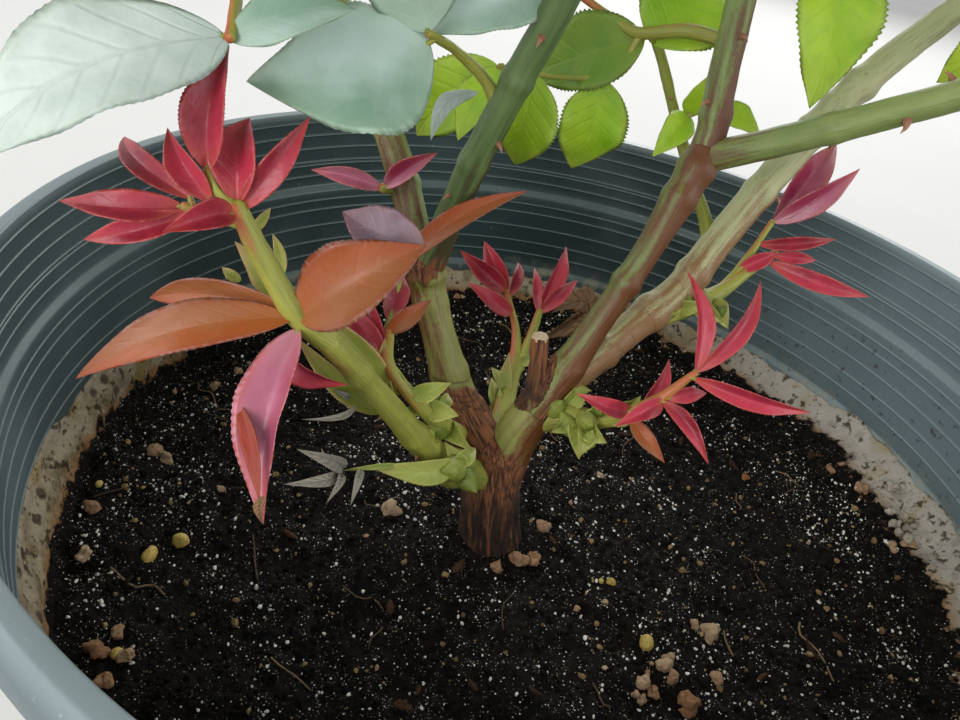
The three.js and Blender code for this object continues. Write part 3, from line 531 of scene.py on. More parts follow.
def soil_finish():
    """Moist peat: near-black crumbs with brown fibre and pale grains, and a crust with dark spots that has
    dried grey above and brown below."""
    finish = Finish("potting_soil", roughness=0.9, Specular_IOR_Level=0.12)
    crust = finish.field("crust")
    fine = finish.cloud(1500, 4)
    coarse = finish.cloud(420, 5)
    color = finish.blend(coarse.ramp(0.35, 0.7), "040303", "16110d")
    color = finish.blend(fine.ramp(0.58, 0.74) * 0.6, color, "2c211a")
    grains = 1 - finish.cells(760).ramp(0.1, 0.18)
    color = finish.blend(grains * finish.cloud(330, 1).ramp(0.52, 0.58), color, "d8d4ca")
    dots = 1 - finish.cells(1250).ramp(0.1, 0.24)
    color = finish.blend(dots * finish.cloud(260, 3).ramp(0.46, 0.56), color, "8f887c")
    tan = finish.blend(finish.cloud(170, 5).ramp(0.3, 0.7), "66583f", "9d9079")
    tan = finish.blend(crust.ramp(0.55, 0.95) * finish.cloud(90, 4).ramp(0.3, 0.6), tan, "988d7a")
    tan = finish.blend((1 - crust.ramp(0.3, 0.7)) * 0.8, tan, "84582e")
    east = finish.parts(finish.place)[0]
    tan = finish.blend(east.ramp(0.04, 0.11) * crust.ramp(0.1, 0.6) * 0.75, tan, "a3a099")
    tan = finish.blend(finish.cloud(75, 4).ramp(0.55, 0.68) * 0.5, tan, "8c7340")
    spots = (1 - finish.cells(130).ramp(0.16, 0.3)) * finish.cloud(60, 3).ramp(0.42, 0.5)
    tan = finish.blend(spots * (0.85 - 0.6 * east.ramp(0.0, 0.06)), tan, "43342a")
    tan = finish.blend(finish.cloud(300, 4).ramp(0.56, 0.66) * 0.85, tan, "30261b")
    tan = finish.blend(finish.cloud(700, 3).ramp(0.62, 0.7) * 0.8, tan, "2a2018")
    edge = (crust + (finish.cloud(220, 4) - 0.5) * 0.9).ramp(0.3, 0.42)
    color = finish.blend(edge, color, tan)
    height = (1 - finish.cells(620)) * 0.5 + coarse * 0.5 + fine * 0.4
    return finish.paint(color, 0.8 + fine * 0.2, height, depth=0.9)


def speck_finish(name, dark, pale, roughness, spots=None, shine=0.4):
    """Small stones or chips whose colour runs from dark to pale with each one's tint."""
    finish = Finish(name, Specular_IOR_Level=shine)
    color = finish.blend(finish.field("tint"), dark, pale)
    color = finish.blend(finish.cloud(900, 3).ramp(0.45, 0.75) * 0.5, color, spots or dark)
    return finish.paint(color, roughness, finish.cloud(1800, 3), depth=0.3)


def wood_finish(name, fresh, shaded, cream, red):
    """Rose cane or bark. The field pale turns green to cream, brown lays red-brown streaks, bark covers all,
    a field of painted shade darkens the bark near the soil, and crack draws dark rings."""
    finish = Finish(name, Specular_IOR_Level=0.45)
    flow = finish.field("flow", "Vector")
    pale, brown, bark = finish.field("pale"), finish.field("brown"), finish.field("bark")

    def drawn_out(scale, detail, along, across=1):
        """Noise over the unrolled skin, its lumps made longer by a small scale in that direction."""
        return finish.cloud(scale, detail, finish.stretched(flow, (across, across, along)))

    streaks = drawn_out(0.55, 4, 0.09)
    fibres = drawn_out(2.2, 3, 0.07)
    patches = drawn_out(0.16, 4, 0.4)
    color = finish.blend(streaks.ramp(0.35, 0.65), fresh, shaded)
    color = finish.blend(pale * (0.55 + 0.45 * patches.ramp(0.3, 0.7)), color, cream)
    color = finish.blend(fibres.ramp(0.56, 0.74) * 0.45, color, "55603a")
    specks = drawn_out(3.0, 2, 0.4)
    streaked = (brown + (streaks - 0.5) * 1.3 + (patches - 0.5) * 0.8 + (specks - 0.5) * 0.5).ramp(0.36, 0.9)
    color = finish.blend(streaked, color, red)
    ring = drawn_out(1.1, 3, 1, 0.15).ramp(0.62, 0.7)
    color = finish.blend(ring * bark.ramp(0.05, 0.4) * 0.7, color, "4c2c1c")
    peel = finish.blend(drawn_out(1.0, 5, 0.16).ramp(0.35, 0.65), "3c2216", "85512f")
    peel = finish.blend(fibres.ramp(0.52, 0.74) * 0.8, peel, "a87650")
    ridges = drawn_out(0.7, 4, 0.08).ramp(0.5, 0.62)
    # Painted shade: the bark goes near black towards the soil and at the foot of the snag, less on the
    # ridges.
    peel = finish.blend(finish.field("foot_shade") * (1 - 0.55 * ridges), peel, "120b08")
    covered = (bark + (streaks - 0.5) * 0.5 + (patches - 0.5) * 0.4).ramp(0.42, 0.56)
    color = finish.blend(covered, color, peel)
    color = finish.blend(finish.field("crack") * 0.8, color, "3e2416")
    height = fibres * 0.35 + streaks * 0.3 + covered * (0.3 + drawn_out(1.3, 5, 0.12))
    return finish.paint(color, 0.42 + 0.4 * covered + 0.1 * fibres, height, depth=0.55)


SIDE_VEINS = 7.0  # pairs on a leaflet


def leaf_finish(name, top, pale, edge, back, vein, gloss, lined=0.45, relief=0.35, bloom=0.3, halves=0.3):
    """A leaf with a midrib and side veins, drawn as strongly as lined says.

    top and pale mix over the blade by noise and tint, and halves pushes one half towards pale and the other
    towards top, a painted highlight on the half of the folded blade that faces the light. edge colours its
    rim and tip as strongly as bloom says, vein its veins and foot, and back its underside."""
    finish = Finish(name, Specular_IOR_Level=0.5)
    u, v, face = finish.parts(finish.field("blade", "Vector"))
    across = v.math("ABSOLUTE")
    tint = finish.field("tint")
    slant = (u * SIDE_VEINS - across * 1.6).math("FRACT")
    side_vein = 1 - (slant - 0.5).math("ABSOLUTE").ramp(0.0, 0.16)
    midrib = 1 - across.ramp(0.0, 0.09)
    lines = (midrib + side_vein * (1 - across.ramp(0.75, 1.0)) * 0.7).clamped()
    mottle = finish.cloud(180, 4)
    # Noise and tint are the leaf's own tones; halves is painted light, one half of the fold lighter than the
    # other.
    share = mottle * 1.2 + tint * 0.7 - 0.45 + (v.ramp(-0.6, 0.6) - 0.5) * halves
    color = finish.blend(share.clamped(), top, pale)
    color = finish.blend(u.ramp(0.6, 1.0) * bloom, color, edge)
    color = finish.blend(across.ramp(0.6, 1.05) * (mottle + 0.2) * bloom * 2, color, edge)
    color = finish.blend((1 - u.ramp(0.0, 0.3)) * 0.5, color, vein)
    color = finish.blend(lines * lined, color, vein)
    under = finish.blend(mottle.ramp(0.3, 0.7) * 0.5 + lines * 0.4, back, vein)
    color = finish.blend(face, under, color)
    height = (1 - lines) * lined * 2 + finish.cells(900) * 0.12 + mottle * 0.5
    return finish.paint(color, gloss + mottle * 0.2, height, depth=relief)


# Camera: the photograph's place, turn and lens

EYE = np.array([-25.7, -183.3, 346.8])
RIGHT = np.array([0.97789, 0.11602, 0.17397])
ABOVE = np.array([-0.20911, 0.54257, 0.81356])
AHEAD = np.array([0.0, 0.83195, -0.55484])
LENS, SENSOR, PICTURE = 29.38, 36.0, (960, 720)
FOCAL = LENS / SENSOR * PICTURE[0]


def sight(across, down):
    """The line of sight through a point of the picture, in pixels, for a step of 1 ahead."""
    return AHEAD + RIGHT * (across - PICTURE[0] / 2) / FOCAL - ABOVE * (down - PICTURE[1] / 2) / FOCAL


def seen_on(across, down, height):
    """The place at that height on the line of sight through a point of the picture."""
    line = sight(across, down)
    return EYE + line * (height - EYE[2]) / line[2]


def seen_at(across, down, depth):
    """The place that far ahead of the camera on the line of sight through a point of the picture."""
    return EYE + depth * sight(across, down)


def set_down(thing, side, above, back, place):
    """Puts a camera or light at a place in metres with its three axes turned, and into the scene."""
    turn = np.eye(4)
    turn[:3] = np.column_stack([side, above, back, place])
    thing.matrix_world = Matrix(turn.tolist())
    bpy.context.scene.collection.objects.link(thing)


lens = bpy.data.cameras.new("camera")
lens.lens, lens.sensor_width, lens.clip_start = LENS, SENSOR, 0.01
camera = bpy.data.objects.new("camera", lens)
set_down(camera, RIGHT, ABOVE, -AHEAD, EYE * METRES)
bpy.context.scene.camera = camera

# Pot

POT_SIDES = 192
POT_HEIGHT = 250
WALL_HEIGHTS = (3, 186, 188, 220, 222, POT_HEIGHT)  # of the inner side, from the floor to the rim
WALL_RADII = (108.86, 137.3, 139.1, 140.8, 142.6, 144)
LEDGES = (187, 221)
CORNER, CORNER_STEPS = 0.5, 4  # size, and points on its curve
RIB_DEPTHS = (3.5, 8.4, 13.4, 18.5, 19.8, 24.0, 33.4, 37.3, 43.9, 50.6, 56.2)  # below the rim
RIB = 0.3  # how far it stands out
DRAINS, DRAIN_RING, DRAIN_RADIUS = 6, 84.0, 6.0  # count, radius of their ring, radius of each


def wall(height):
    """Inner radius of the pot at a height: straight between the floor, two ledges and the rim."""
    return np.interp(height, WALL_HEIGHTS, WALL_RADII)


def rounded(profile):
    """The profile with each corner drawn as a quadratic curve that begins and ends up to CORNER from it."""
    profile = np.asarray(profile, float)
    before, corner, after = profile[:-2], profile[1:-1], profile[2:]
    ends = []
    for other in (before, after):
        reach = np.linalg.norm(other - corner, axis=1, keepdims=True)
        ends.append(corner + (other - corner) / reach * np.minimum(CORNER, 0.45 * reach))
    t = np.linspace(0, 1, CORNER_STEPS)[None, :, None]
    curve = (1 - t) ** 2 * ends[0][:, None] + 2 * t * (1 - t) * corner[:, None] + t**2 * ends[1][:, None]
    return np.vstack([profile[:1], curve.reshape(-1, 2), profile[-1:]])


def pot_profile():
    """Underside, outer wall with its steps, rolled lip, then the inner wall with ribs down to the floor."""
    outer = [[0, 0], [109, 0], [111, 2], [139.9, 184], [141.7, 187], [143.4, 218], [145.2, 221],
             [145.9, 239], [148, 239], [150, 241], [150, 247.5], [147.5, 250], [144, 250]]
    inner = [[wall(height), height] for height in WALL_HEIGHTS[:-1]]
    for depth in RIB_DEPTHS:
        for rise, proud in ((-0.38, 0.0), (-0.12, RIB), (0.12, RIB), (0.38, 0.0)):
            height = POT_HEIGHT - depth + rise
            inner.append([wall(height) - proud, height])
    inner.sort(key=lambda place: -place[1])
    return rounded(outer + inner + [[0, 3]])


def evaluated(thing):
    """A new mesh of the thing as its modifiers leave it."""
    return bpy.data.meshes.new_from_object(thing.evaluated_get(bpy.context.evaluated_depsgraph_get()))


def drilled(thing, tool):
    """Cuts the tool's shape out of thing for good, and removes the tool."""
    cut = thing.modifiers.new("drill", "BOOLEAN")
    cut.operation, cut.object, cut.solver = "DIFFERENCE", tool, "EXACT"
    whole = evaluated(thing)
    thing.modifiers.clear()
    thing.data = whole
    bpy.data.objects.remove(tool)


def drain_plugs():
    """Six upright closed cylinders on the ring of drain holes."""
    profile = [[0, -3], [DRAIN_RADIUS, -3], [DRAIN_RADIUS, 8], [0, 8]]
    plugs = []
    for angle in np.linspace(0, 2 * np.pi, DRAINS, endpoint=False):
        plug = turned(profile, 40)
        plug.points += DRAIN_RING * np.array([np.cos(angle), np.sin(angle), 0])
        plugs.append(plug)
    return Shape.joined(plugs)


pot_look = pot_finish()
shell = turned(pot_profile(), POT_SIDES)
radius, height = np.hypot(shell.points[:, 0], shell.points[:, 1]), shell.points[:, 2]
# rib marks the crests of the ribs and, at half strength, the ledges of the inner wall, where a highlight is
# painted.
crests = POT_HEIGHT - np.array(RIB_DEPTHS)
near_rib = np.exp(-(((height[:, None] - crests) / 0.16) ** 2)).max(1)
ledges = np.exp(-(((height[:, None] - LEDGES) / 1.3) ** 2)).max(1)
shell.fields["rib"] = np.maximum(near_rib, 0.5 * ledges) * (np.abs(radius - wall(height)) < 0.6)
pot = piece("pot_shell", shell, pot_look, ["pot"])
plugs = piece("plugs", drain_plugs(), pot_look)
drilled(pot, plugs)
pot.data.set_sharp_from_angle(angle=0.7)

# Soil

SOIL = 175.0  # height of its level top
FOOT = (-12.0, -23.0)  # where the trunk stands
SOIL_SIDES, CRUST_ROWS, TOP_ROWS = 560, 17, 131
LOW_HEIGHTS = (3.3, 3.3, 4.5, 60, 120, 165, 176)  # the underside and the side
CRUST_WIDTH = 17.0
CREST = 184.5  # height of the crust's edge on the wall
# Height, size and seed of each noise, over the soil or round its edge, where 1 is the pot's radius
SOIL_LUMPS = ((2.4, 34, 3), (1.7, 12, 4), (0.9, 5, 5))
CREST_LUMPS = ((2.6, 0.5, 7), (1.6, 0.12, 8), (1.2, 0.04, 9))
SHORE_LUMPS = ((1.5, 0.2, 12), (0.8, 0.06, 13))
CRUST_LUMPS = ((1.3, 4.5, 10), (0.6, 1.8, 11))
PATCHES = ((1.0, 13, 51), (0.5, 4, 52))
STEEP_SIDE = np.radians(158)  # where the crust is narrow and climbs highest
SHELF_SIDE = np.radians(14)  # where the crust is broadest
CRUST_BEND, CRUST_CLIMB = 2.2, 1.8
SOIL_REACH, TRUNK_CLEAR = 131.0, 12.0  # radii between which things lie on the soil


def soil_height(x, y):
    """Height of the soil: noise of four sizes on two bell-shaped mounds, one on the other, round the
    trunk."""
    place = np.stack(np.broadcast_arrays(x, y, 0 * x), axis=-1)
    lumps = layered(place, SOIL_LUMPS)
    away = (x - FOOT[0]) ** 2 + (y - FOOT[1]) ** 2
    mound = 7.5 * np.exp(-away / 60**2) + 2.2 * np.exp(-away / 14**2)
    return SOIL + lumps + mound + 0.35 * noise(place, 2.2, 6)


def soil_shape():
    """Rings round the axis: underside, side, a crust that climbs the wall, then the level top.

    The crust's inner edge and its crest are set by noise, by the steep side and by the shelf. Over its
    width its radius goes by 1-(1-s)^2.2 and its height by s^1.8, with bumps of two noises. It stays clear
    of the wall but for its last row, which runs into it."""
    angle = np.linspace(0, 2 * np.pi, SOIL_SIDES, endpoint=False)[None, :]
    east, north = np.cos(angle), np.sin(angle)
    steep = smoothstep(0.55, 0.9, np.cos(angle + STEEP_SIDE))
    edge = np.stack([east, north, 0 * east], axis=-1)
    crest = layered(edge, CREST_LUMPS, CREST)
    crest = crest + 3.4 * np.clip(east, 0, 1) - 1.0 + 9.5 * steep
    shelf = smoothstep(0.95, 0.985, np.cos(angle - SHELF_SIDE))
    inner = wall(SOIL) - CRUST_WIDTH + 13.5 * steep - 8.5 * shelf
    inner = layered(edge, SHORE_LUMPS, inner)
    shore = soil_height(inner * east, inner * north)
    s = np.linspace(1, 0, CRUST_ROWS)[:, None]

    def crust_out(height, past):
        """The crust's radius at each height, ending past the wall by that much."""
        return inner + (wall(height) + past - inner) * (1 - (1 - s) ** CRUST_BEND)

    crust_height = shore + (crest - shore) * s**CRUST_CLIMB
    crust_radius = crust_out(crust_height, 0.1)
    grain = np.stack([crust_radius * east, crust_radius * north, crust_height], axis=-1)
    bump = layered(grain, CRUST_LUMPS) * np.sin(np.pi * s**0.8)
    crust_height = crust_height + bump
    crust_radius = crust_out(crust_height, np.where(s == 1, 0.3, -0.7))
    radius = inner * np.linspace(1, 0, TOP_ROWS + 1)[1:, None]
    top_height = soil_height(radius * east, radius * north)
    low_height = np.array(LOW_HEIGHTS)[:, None]
    low_radius = wall(low_height) - 0.3
    low_radius[:2, 0] = 0, low_radius[1, 0] - 1.5
    spread = np.ones((1, SOIL_SIDES))
    radii = np.vstack([low_radius * spread, crust_radius, radius * spread])
    heights = np.vstack([low_height * spread, crust_height, top_height])
    grid = np.stack([radii * east, radii * north, heights], axis=-1)
    crust = np.vstack([low_height * 0 * spread + 1, smoothstep(0.0, 1.0, s) * spread, 0 * top_height])
    return Shape(grid, grid_faces(len(grid), SOIL_SIDES, wrap=True), crust=crust.ravel())


soil_look = soil_finish()
piece("soil_bed", soil_shape(), soil_look, ["soil"])

chance = np.random.default_rng(11)  # all draws come from it in one order


def scattered(count, patchy=0.0):
    """Places over the soil, even by area and none at the trunk. With patchy near 1 they keep to the patches
    where noise of two sizes is high."""
    places = np.zeros((0, 2))
    while len(places) < count:
        radius = SOIL_REACH * np.sqrt(chance.random(count))
        angle = 2 * np.pi * chance.random(count)
        more = np.stack([radius * np.cos(angle), radius * np.sin(angle)], axis=-1)
        far = np.hypot(more[:, 0] - FOOT[0], more[:, 1] - FOOT[1]) > TRUNK_CLEAR
        level = np.column_stack([more, 0 * radius])
        thin = 1 - smoothstep(-0.2, 0.6, layered(level, PATCHES))
        kept = chance.random(count) < 1 - patchy * thin
        places = np.vstack([places, more[far & kept]])
    places = places[:count]
    return np.column_stack([places, soil_height(places[:, 0], places[:, 1])])


def drawn_in(places, reach):
    """Moves the places that are farther out than reach onto the circle of that radius."""
    places[:, :2] *= np.minimum(1, reach / np.hypot(places[:, 0], places[:, 1]))[:, None]


def strewn(name, count, low, high, look, seed, rough, rounds=0, measured=(), patchy=0.0):
    """Lumps over the soil, with radii that go from low to high by the cube of an even draw, and any that were
    measured, as places across and down the picture with radii."""
    places = scattered(count, patchy=patchy)
    sizes = low + (high - low) * chance.random(count) ** 3
    if len(measured):
        found = np.array([seen_on(across, down, SOIL) for across, down, _ in measured])
        drawn_in(found, SOIL_REACH - 4)
        found[:, 2] = soil_height(found[:, 0], found[:, 1])
        places = np.vstack([places, found])
        sizes = np.concatenate([sizes, [size for _, _, size in measured]])
    places[:, 2] += 0.25 * sizes
    lumps = stones(places, sizes, seed, rounds, rough)
    piece(name, lumps, look, smooth=rounds > 0, weld=0)


crumb_look = speck_finish("crumb", "040302", "120d0a", 0.9, "201711", 0.12)
perlite_look = speck_finish("perlite", "b4aea2", "fbf9f4", 0.55, "948c7c")
dust_look = speck_finish("fine_grit", "4a463e", "b4aea4", 0.6, "5a5348")
grit_look = speck_finish("grit", "4c3826", "a88c5c", 0.85, "3b2a1c")
strewn("soil_crumbs", 8500, 0.25, 1.1, crumb_look, 21, 0.6)
strewn("perlite", 6500, 0.09, 0.55, perlite_look, 22, 0.5, patchy=0.85)
strewn("perlite_dust", 8000, 0.06, 0.17, dust_look, 27, 0.5, patchy=0.8)
strewn("grit", 900, 0.25, 1.0, grit_look, 26, 0.5, patchy=0.5)

# Measured stones: place across and down the picture, then height where they lie on the crust, and radius
PEBBLES = [(387, 527, 2.9), (165, 457, 2.3), (155, 452, 1.8), (492, 583, 2.0), (512, 577, 1.9),
           (528, 574, 1.8), (538, 545, 1.9), (858, 494, 1.9), (828, 474, 1.8), (905, 550, 2.2),
           (890, 548, 1.6), (660, 675, 1.8), (668, 686, 1.7), (652, 694, 1.7), (686, 707, 2.4),
           (640, 703, 1.6), (706, 640, 2.0), (75, 565, 2.2), (80, 514, 2.0), (640, 688, 1.5), (632, 700, 1.3),
           (664, 668, 1.3), (690, 634, 1.4), (126, 662, 1.9), (96, 690, 1.8), (118, 640, 1.8), (85, 660, 2.2),
           (215, 385, 1.9), (460, 290, 1.8), (452, 282, 1.6), (466, 277, 1.4)]
pebble_look = speck_finish("pebble", "7a4c2c", "b8a488", 0.9, "5a3c26", 0.2)
strewn("pebbles", 40, 0.6, 1.8, pebble_look, 23, 0.5, 3, PEBBLES)
CRUST_STONES = [(893, 487, 183.2, 1.8), (891, 512, 182, 1.4), (903, 514, 183.0, 1.4), (896, 524, 182, 1.3),
                (899, 532, 181.5, 1.6), (909, 538, 182.5, 1.2), (914, 526, 183, 1.0), (884, 470, 182, 0.8)]
crust_places = [seen_on(*stone[:3]) for stone in CRUST_STONES]
crust_stones = stones(crust_places, [stone[3] for stone in CRUST_STONES], 62, 3, 0.5)
crust_look = speck_finish("crust_stone", "8c8478", "b4ab9c", 0.9, "6a5c4c", 0.2)
piece("crust_stones", crust_stones, crust_look, weld=0)
PELLETS = [(150, 559, 2.3), (181, 545, 2.0), (86, 490, 1.3), (641, 654, 1.8), (606, 595, 1.4),
           (596, 594, 0.9), (118, 660, 1.2)]
pellet_look = speck_finish("pellet", "a88a3a", "cdb667", 0.45, "8a6a2a")
strewn("feed_pellets", 2, 1.0, 1.6, pellet_look, 24, 0.12, 3, PELLETS)

CHIP_LIFT = 1.3


def flakes(count, low, high):
    """Bark chips for blades(): short, stiff, of lengths from low to high, on the soil at chance headings."""
    base = scattered(count)
    heading = 2 * np.pi * chance.random(count)
    length = low + (high - low) * chance.random(count)
    rise = chance.normal(0, 0.12, count)
    tip = base + length[:, None] * np.column_stack([np.cos(heading), np.sin(heading), rise])
    base[:, 2] += CHIP_LIFT
    tip[:, 2] = soil_height(tip[:, 0], tip[:, 1]) + CHIP_LIFT
    up = np.column_stack([chance.normal(0, 0.3, (count, 2)), np.ones(count)])
    return dict(base=base, tip=tip, up=up, width=length * (0.3 + 0.3 * chance.random(count)),
                fold=chance.normal(0, 0.3, count), bow=chance.normal(0, 0.05, count),
                curl=chance.normal(0, 0.05, count), twist=chance.normal(0, 0.4, count),
                sickle=chance.normal(0, 0.05, count), tint=chance.random(count))


chips = blades(flakes(40, 3, 7), 9, 4, teeth=0.25, thickness=0.9)
piece("bark_chips", chips, speck_finish("chip", "130d09", "4a3424", 0.9, shine=0.15))


def litter(count):
    """Fine dead twigs and roots: thin bent limbs that follow the soil."""
    made = []
    for place in scattered(count):
        heading, length = 2 * np.pi * chance.random(), 5 + 14 * chance.random() ** 2
        steps = np.linspace(0, 1, 4)[:, None]
        path = place + steps * length * np.array([[np.cos(heading), np.sin(heading), 0]])
        path[:, :2] += chance.normal(0, 0.09 * length, (4, 2))
        drawn_in(path, SOIL_REACH - 3)
        path[:, 2] = soil_height(path[:, 0], path[:, 1]) + 0.5
        radii = 0.12 + 0.3 * chance.random() * np.array([1, 0.8, 0.5])
        made.append(limb(path, radii, 6, 2.0, tint=chance.random()))
    return Shape.joined(made)


piece("soil_litter", litter(34), speck_finish("litter", "2a1c13", "7d6648", 0.85))

# Wood

bark_look = wood_finish("bark", "667339", "4e5b2b", "98914c", "633a1c")
green_look = wood_finish("green_cane", "728744", "526b34", "9aa264", "66402c")
glaucous_look = wood_finish("glaucous_cane", "547040", "38502c", "76864f", "4a452c")
pale_look = wood_finish("pale_cane", "949c6a", "76865a", "b4b288", "82603f")
young_look = wood_finish("young_stem", "8c8f34", "72792c", "a8a656", "ae5a34")

# The trunk and what is joined to it. bark, brown, pale and the field of painted shade run evenly from foot to
# tip, and lit adds to brown on the side that faces +X. The fifth is the left cane and the last is the right
# one.

VOXEL = 0.42
SAMPLES = 60  # places along each limb's middle
FORKS = [
    dict(points=[[-11.5, -23, 164], [-11.8, -23, 172], [-12.5, -23, 180], [-14.5, -23, 193], [-17, -22, 211]],
         radii=[13.5, 11.5, 9.2, 8.3, 8.1, 7.9, 7.2], bark=1.0),
    dict(points=[[-16, -22, 200], [-20, -21, 210], [-28, -18, 220.5]], radii=[7.0, 6.6, 6.2], bark=1.0),
    dict(points=[[-15, -22, 200], [-12.5, -20.5, 215], [-7, -17, 229.5]], radii=[7.2, 6.0, 5.4],
         bark=[1, 0.3, 0.15], brown=0.65, pale=[0.3, 0.8, 0.9], lit=0.6),
    dict(points=[[-10.2, -17.4, 229], [-10.8, -16.5, 236], [-12, -13.5, 243.5]], radii=[2.4, 2.3, 2.25],
         bark=[0.4, 0.7, 0.8], brown=0.9, foot_shade=[0.9, 0.7, 0.3, 0.1]),
    dict(points=[[-26, -18.7, 218], [-30, -17, 223.5], [-37, -13, 237], [-43, -8, 249], [-44.4, -6.9, 254.5]],
         radii=[6.0, 5.0, 4.4, 4.2, 5.1], bark=[1, 0.6, 0, 0, 0, 0.1, 0.7],
         brown=[0.9, 0.55, 0.45, 0.5, 0.45, 0.9], pale=[0.6, 0.8, 0.7], lit=-0.4,
         swells=[(14, 0.5, 2.0), (32, 0.5, 2.4), (39, 0.7, 1.8)]),
    dict(points=[[-8, -18, 227], [-2, -13, 241], [8, -4, 266], [16, 6, 289], [17, 7.5, 292.5]],
         radii=[5.2, 4.3, 3.5, 3.4, 3.5, 4.3, 4.1], bark=[0.4, 0.2, 0, 0, 0, 0.1],
         brown=[0.65, 0.82, 0.8, 0.77, 0.8, 0.87, 1.0], pale=[0.4, 0.1, 0.1], lit=0.4,
         swells=[(12, 0.5, 2.5), (38, 0.7, 2.2), (62, 0.4, 2.0), (70, 0.8, 2.6)]),
]
LEFT_CANE = 4  # its place in FORKS
CRACKS = (223.4, 225.0, 226.2, 229.5)  # heights of the rings round it
WOOD_FIELDS = ("bark", "brown", "pale", "lit", "foot_shade")
BATCH = 4096  # points compared at a time


def unrolled(paths, points):
    """For each point, the index of the nearest sample of the paths, its place on that limb's skin (across in
    two directions square to the limb's middle, and along it), and the direction out from the middle."""
    lines = np.concatenate(paths)
    slopes = [unit(np.gradient(path, axis=0)) for path in paths]
    frames = [(slope, *cross_axes(slope)) for slope in slopes]
    tangent, side, other = (np.concatenate([frame[k] for frame in frames]) for k in range(3))
    steps = [np.linalg.norm(np.diff(path, axis=0, prepend=path[:1]), axis=1) for path in paths]
    along = np.concatenate([np.cumsum(step) for step in steps])
    index = np.zeros(len(points), int)
    for start in range(0, len(points), BATCH):
        away = points[start : start + BATCH, None] - lines[None]
        index[start : start + BATCH] = np.argmin((away**2).sum(-1), axis=1)
    away = points - lines[index]
    axes = (side[index], other[index], tangent[index])
    flow = np.stack([(away * axis).sum(-1) for axis in axes], axis=-1)
    flow[:, 2] += along[index]
    return index, flow, unit(away - (away * tangent[index]).sum(-1, keepdims=True) * tangent[index] + 1e-6)


def bark_relief(flow, bark):
    """Height of the bark: furrows where noise stretched along the wood crosses zero, rough flakes and fine
    grain. Where bark is 0 it is the low swells of smooth skin."""
    long = flow * np.array([1, 1, 0.14])
    furrow = np.abs(noise(long, 2.6, 31)) + 0.5 * np.abs(noise(long, 1.2, 32))
    flake = noise(flow * np.array([1, 1, 0.35]), 3.2, 33)
    rough = (smoothstep(0, 0.35, furrow) - 0.75) * 0.65 + 0.25 * flake + 0.14 * noise(flow, 0.9, 34)
    smooth = 0.12 * noise(long, 2.2, 35) + 0.1 * noise(flow, 4.0, 36) + 0.03 * noise(flow, 0.9, 37)
    return bark * rough + (1 - bark) * smooth


def main_wood():
    """The trunk with its forks, snag and two lower canes: limbs merged by a voxel remesh, then moved in and
    out by the bark's relief."""
    shapes = [limb(part["points"], part["radii"], 40, 0.8, part.get("swells", ())) for part in FORKS]
    rough = piece("rough_wood", Shape.joined(shapes), bark_look)
    merge = rough.modifiers.new("merge", "REMESH")
    merge.mode, merge.voxel_size = "VOXEL", VOXEL * METRES
    mesh = evaluated(rough)
    bpy.data.objects.remove(rough)
    mesh.name = "trunk_and_canes"
    points, outward = np.zeros((2, len(mesh.vertices) * 3))
    mesh.vertices.foreach_get("co", points)
    mesh.vertices.foreach_get("normal", outward)
    points, outward = points.reshape(-1, 3) / METRES, outward.reshape(-1, 3)
    paths = [smooth_path(part["points"], SAMPLES)[0] for part in FORKS]
    index, flow, _ = unrolled(paths, points)
    share = np.linspace(0, 1, SAMPLES)
    known = {}
    for name in WOOD_FIELDS:
        lists = [np.atleast_1d(part.get(name, 0.0)) for part in FORKS]
        spread = [np.interp(share, np.linspace(0, 1, len(one)), one) for one in lists]
        known[name] = np.concatenate(spread)[index]
    bark = known["bark"]
    patches = 0.3 * noise(points * np.array([1, 1, 0.3]), 4, 38)
    bark = np.clip(bark + patches * (bark > 0.02) * (bark < 0.98), 0, 1)
    points += outward * bark_relief(flow, bark)[:, None]
    mesh.vertices.foreach_set("co", (points * METRES).ravel())
    around = points[:, 2] + 0.5 * noise(points, 3, 39)
    crack = np.exp(-(((around[:, None] - CRACKS) / 0.22) ** 2)).max(1) * (index // SAMPLES == LEFT_CANE)
    # Painted shade: darker below about 200 mm, towards the soil, and where a limb lists it.
    foot_shade = np.maximum(known["foot_shade"], 1 - smoothstep(194, 210, points[:, 2] + 4 * noise(points, 5, 40)))
    store(mesh, dict(flow=flow, bark=bark, pale=known["pale"], crack=crack, foot_shade=0.9 * foot_shade,
                     brown=known["brown"] + known["lit"] * outward[:, 0]))
    dressed("trunk_and_canes", mesh, bark_look, ["trunk", "left_cane", "right_cane"])


main_wood()
cut = limb([[-11.96, -13.6, 243.3], [-12.1, -13.25, 244.2]], [2.25, 2.2], 24, 0.2, tint=0.8)
piece("snag_cut", cut, speck_finish("cut_wood", "8c7460", "c4ac8e", 0.8, "6c5440"))


def cane_relief(points, along):
    """Low swells and fine grain of a young cane's skin, by noise of two sizes."""
    return layered(points, ((0.16, 6, 41), (0.07, 1.7, 42)))


# The other canes and boughs, with fields as in FORKS. Each is its own piece, named after its node.

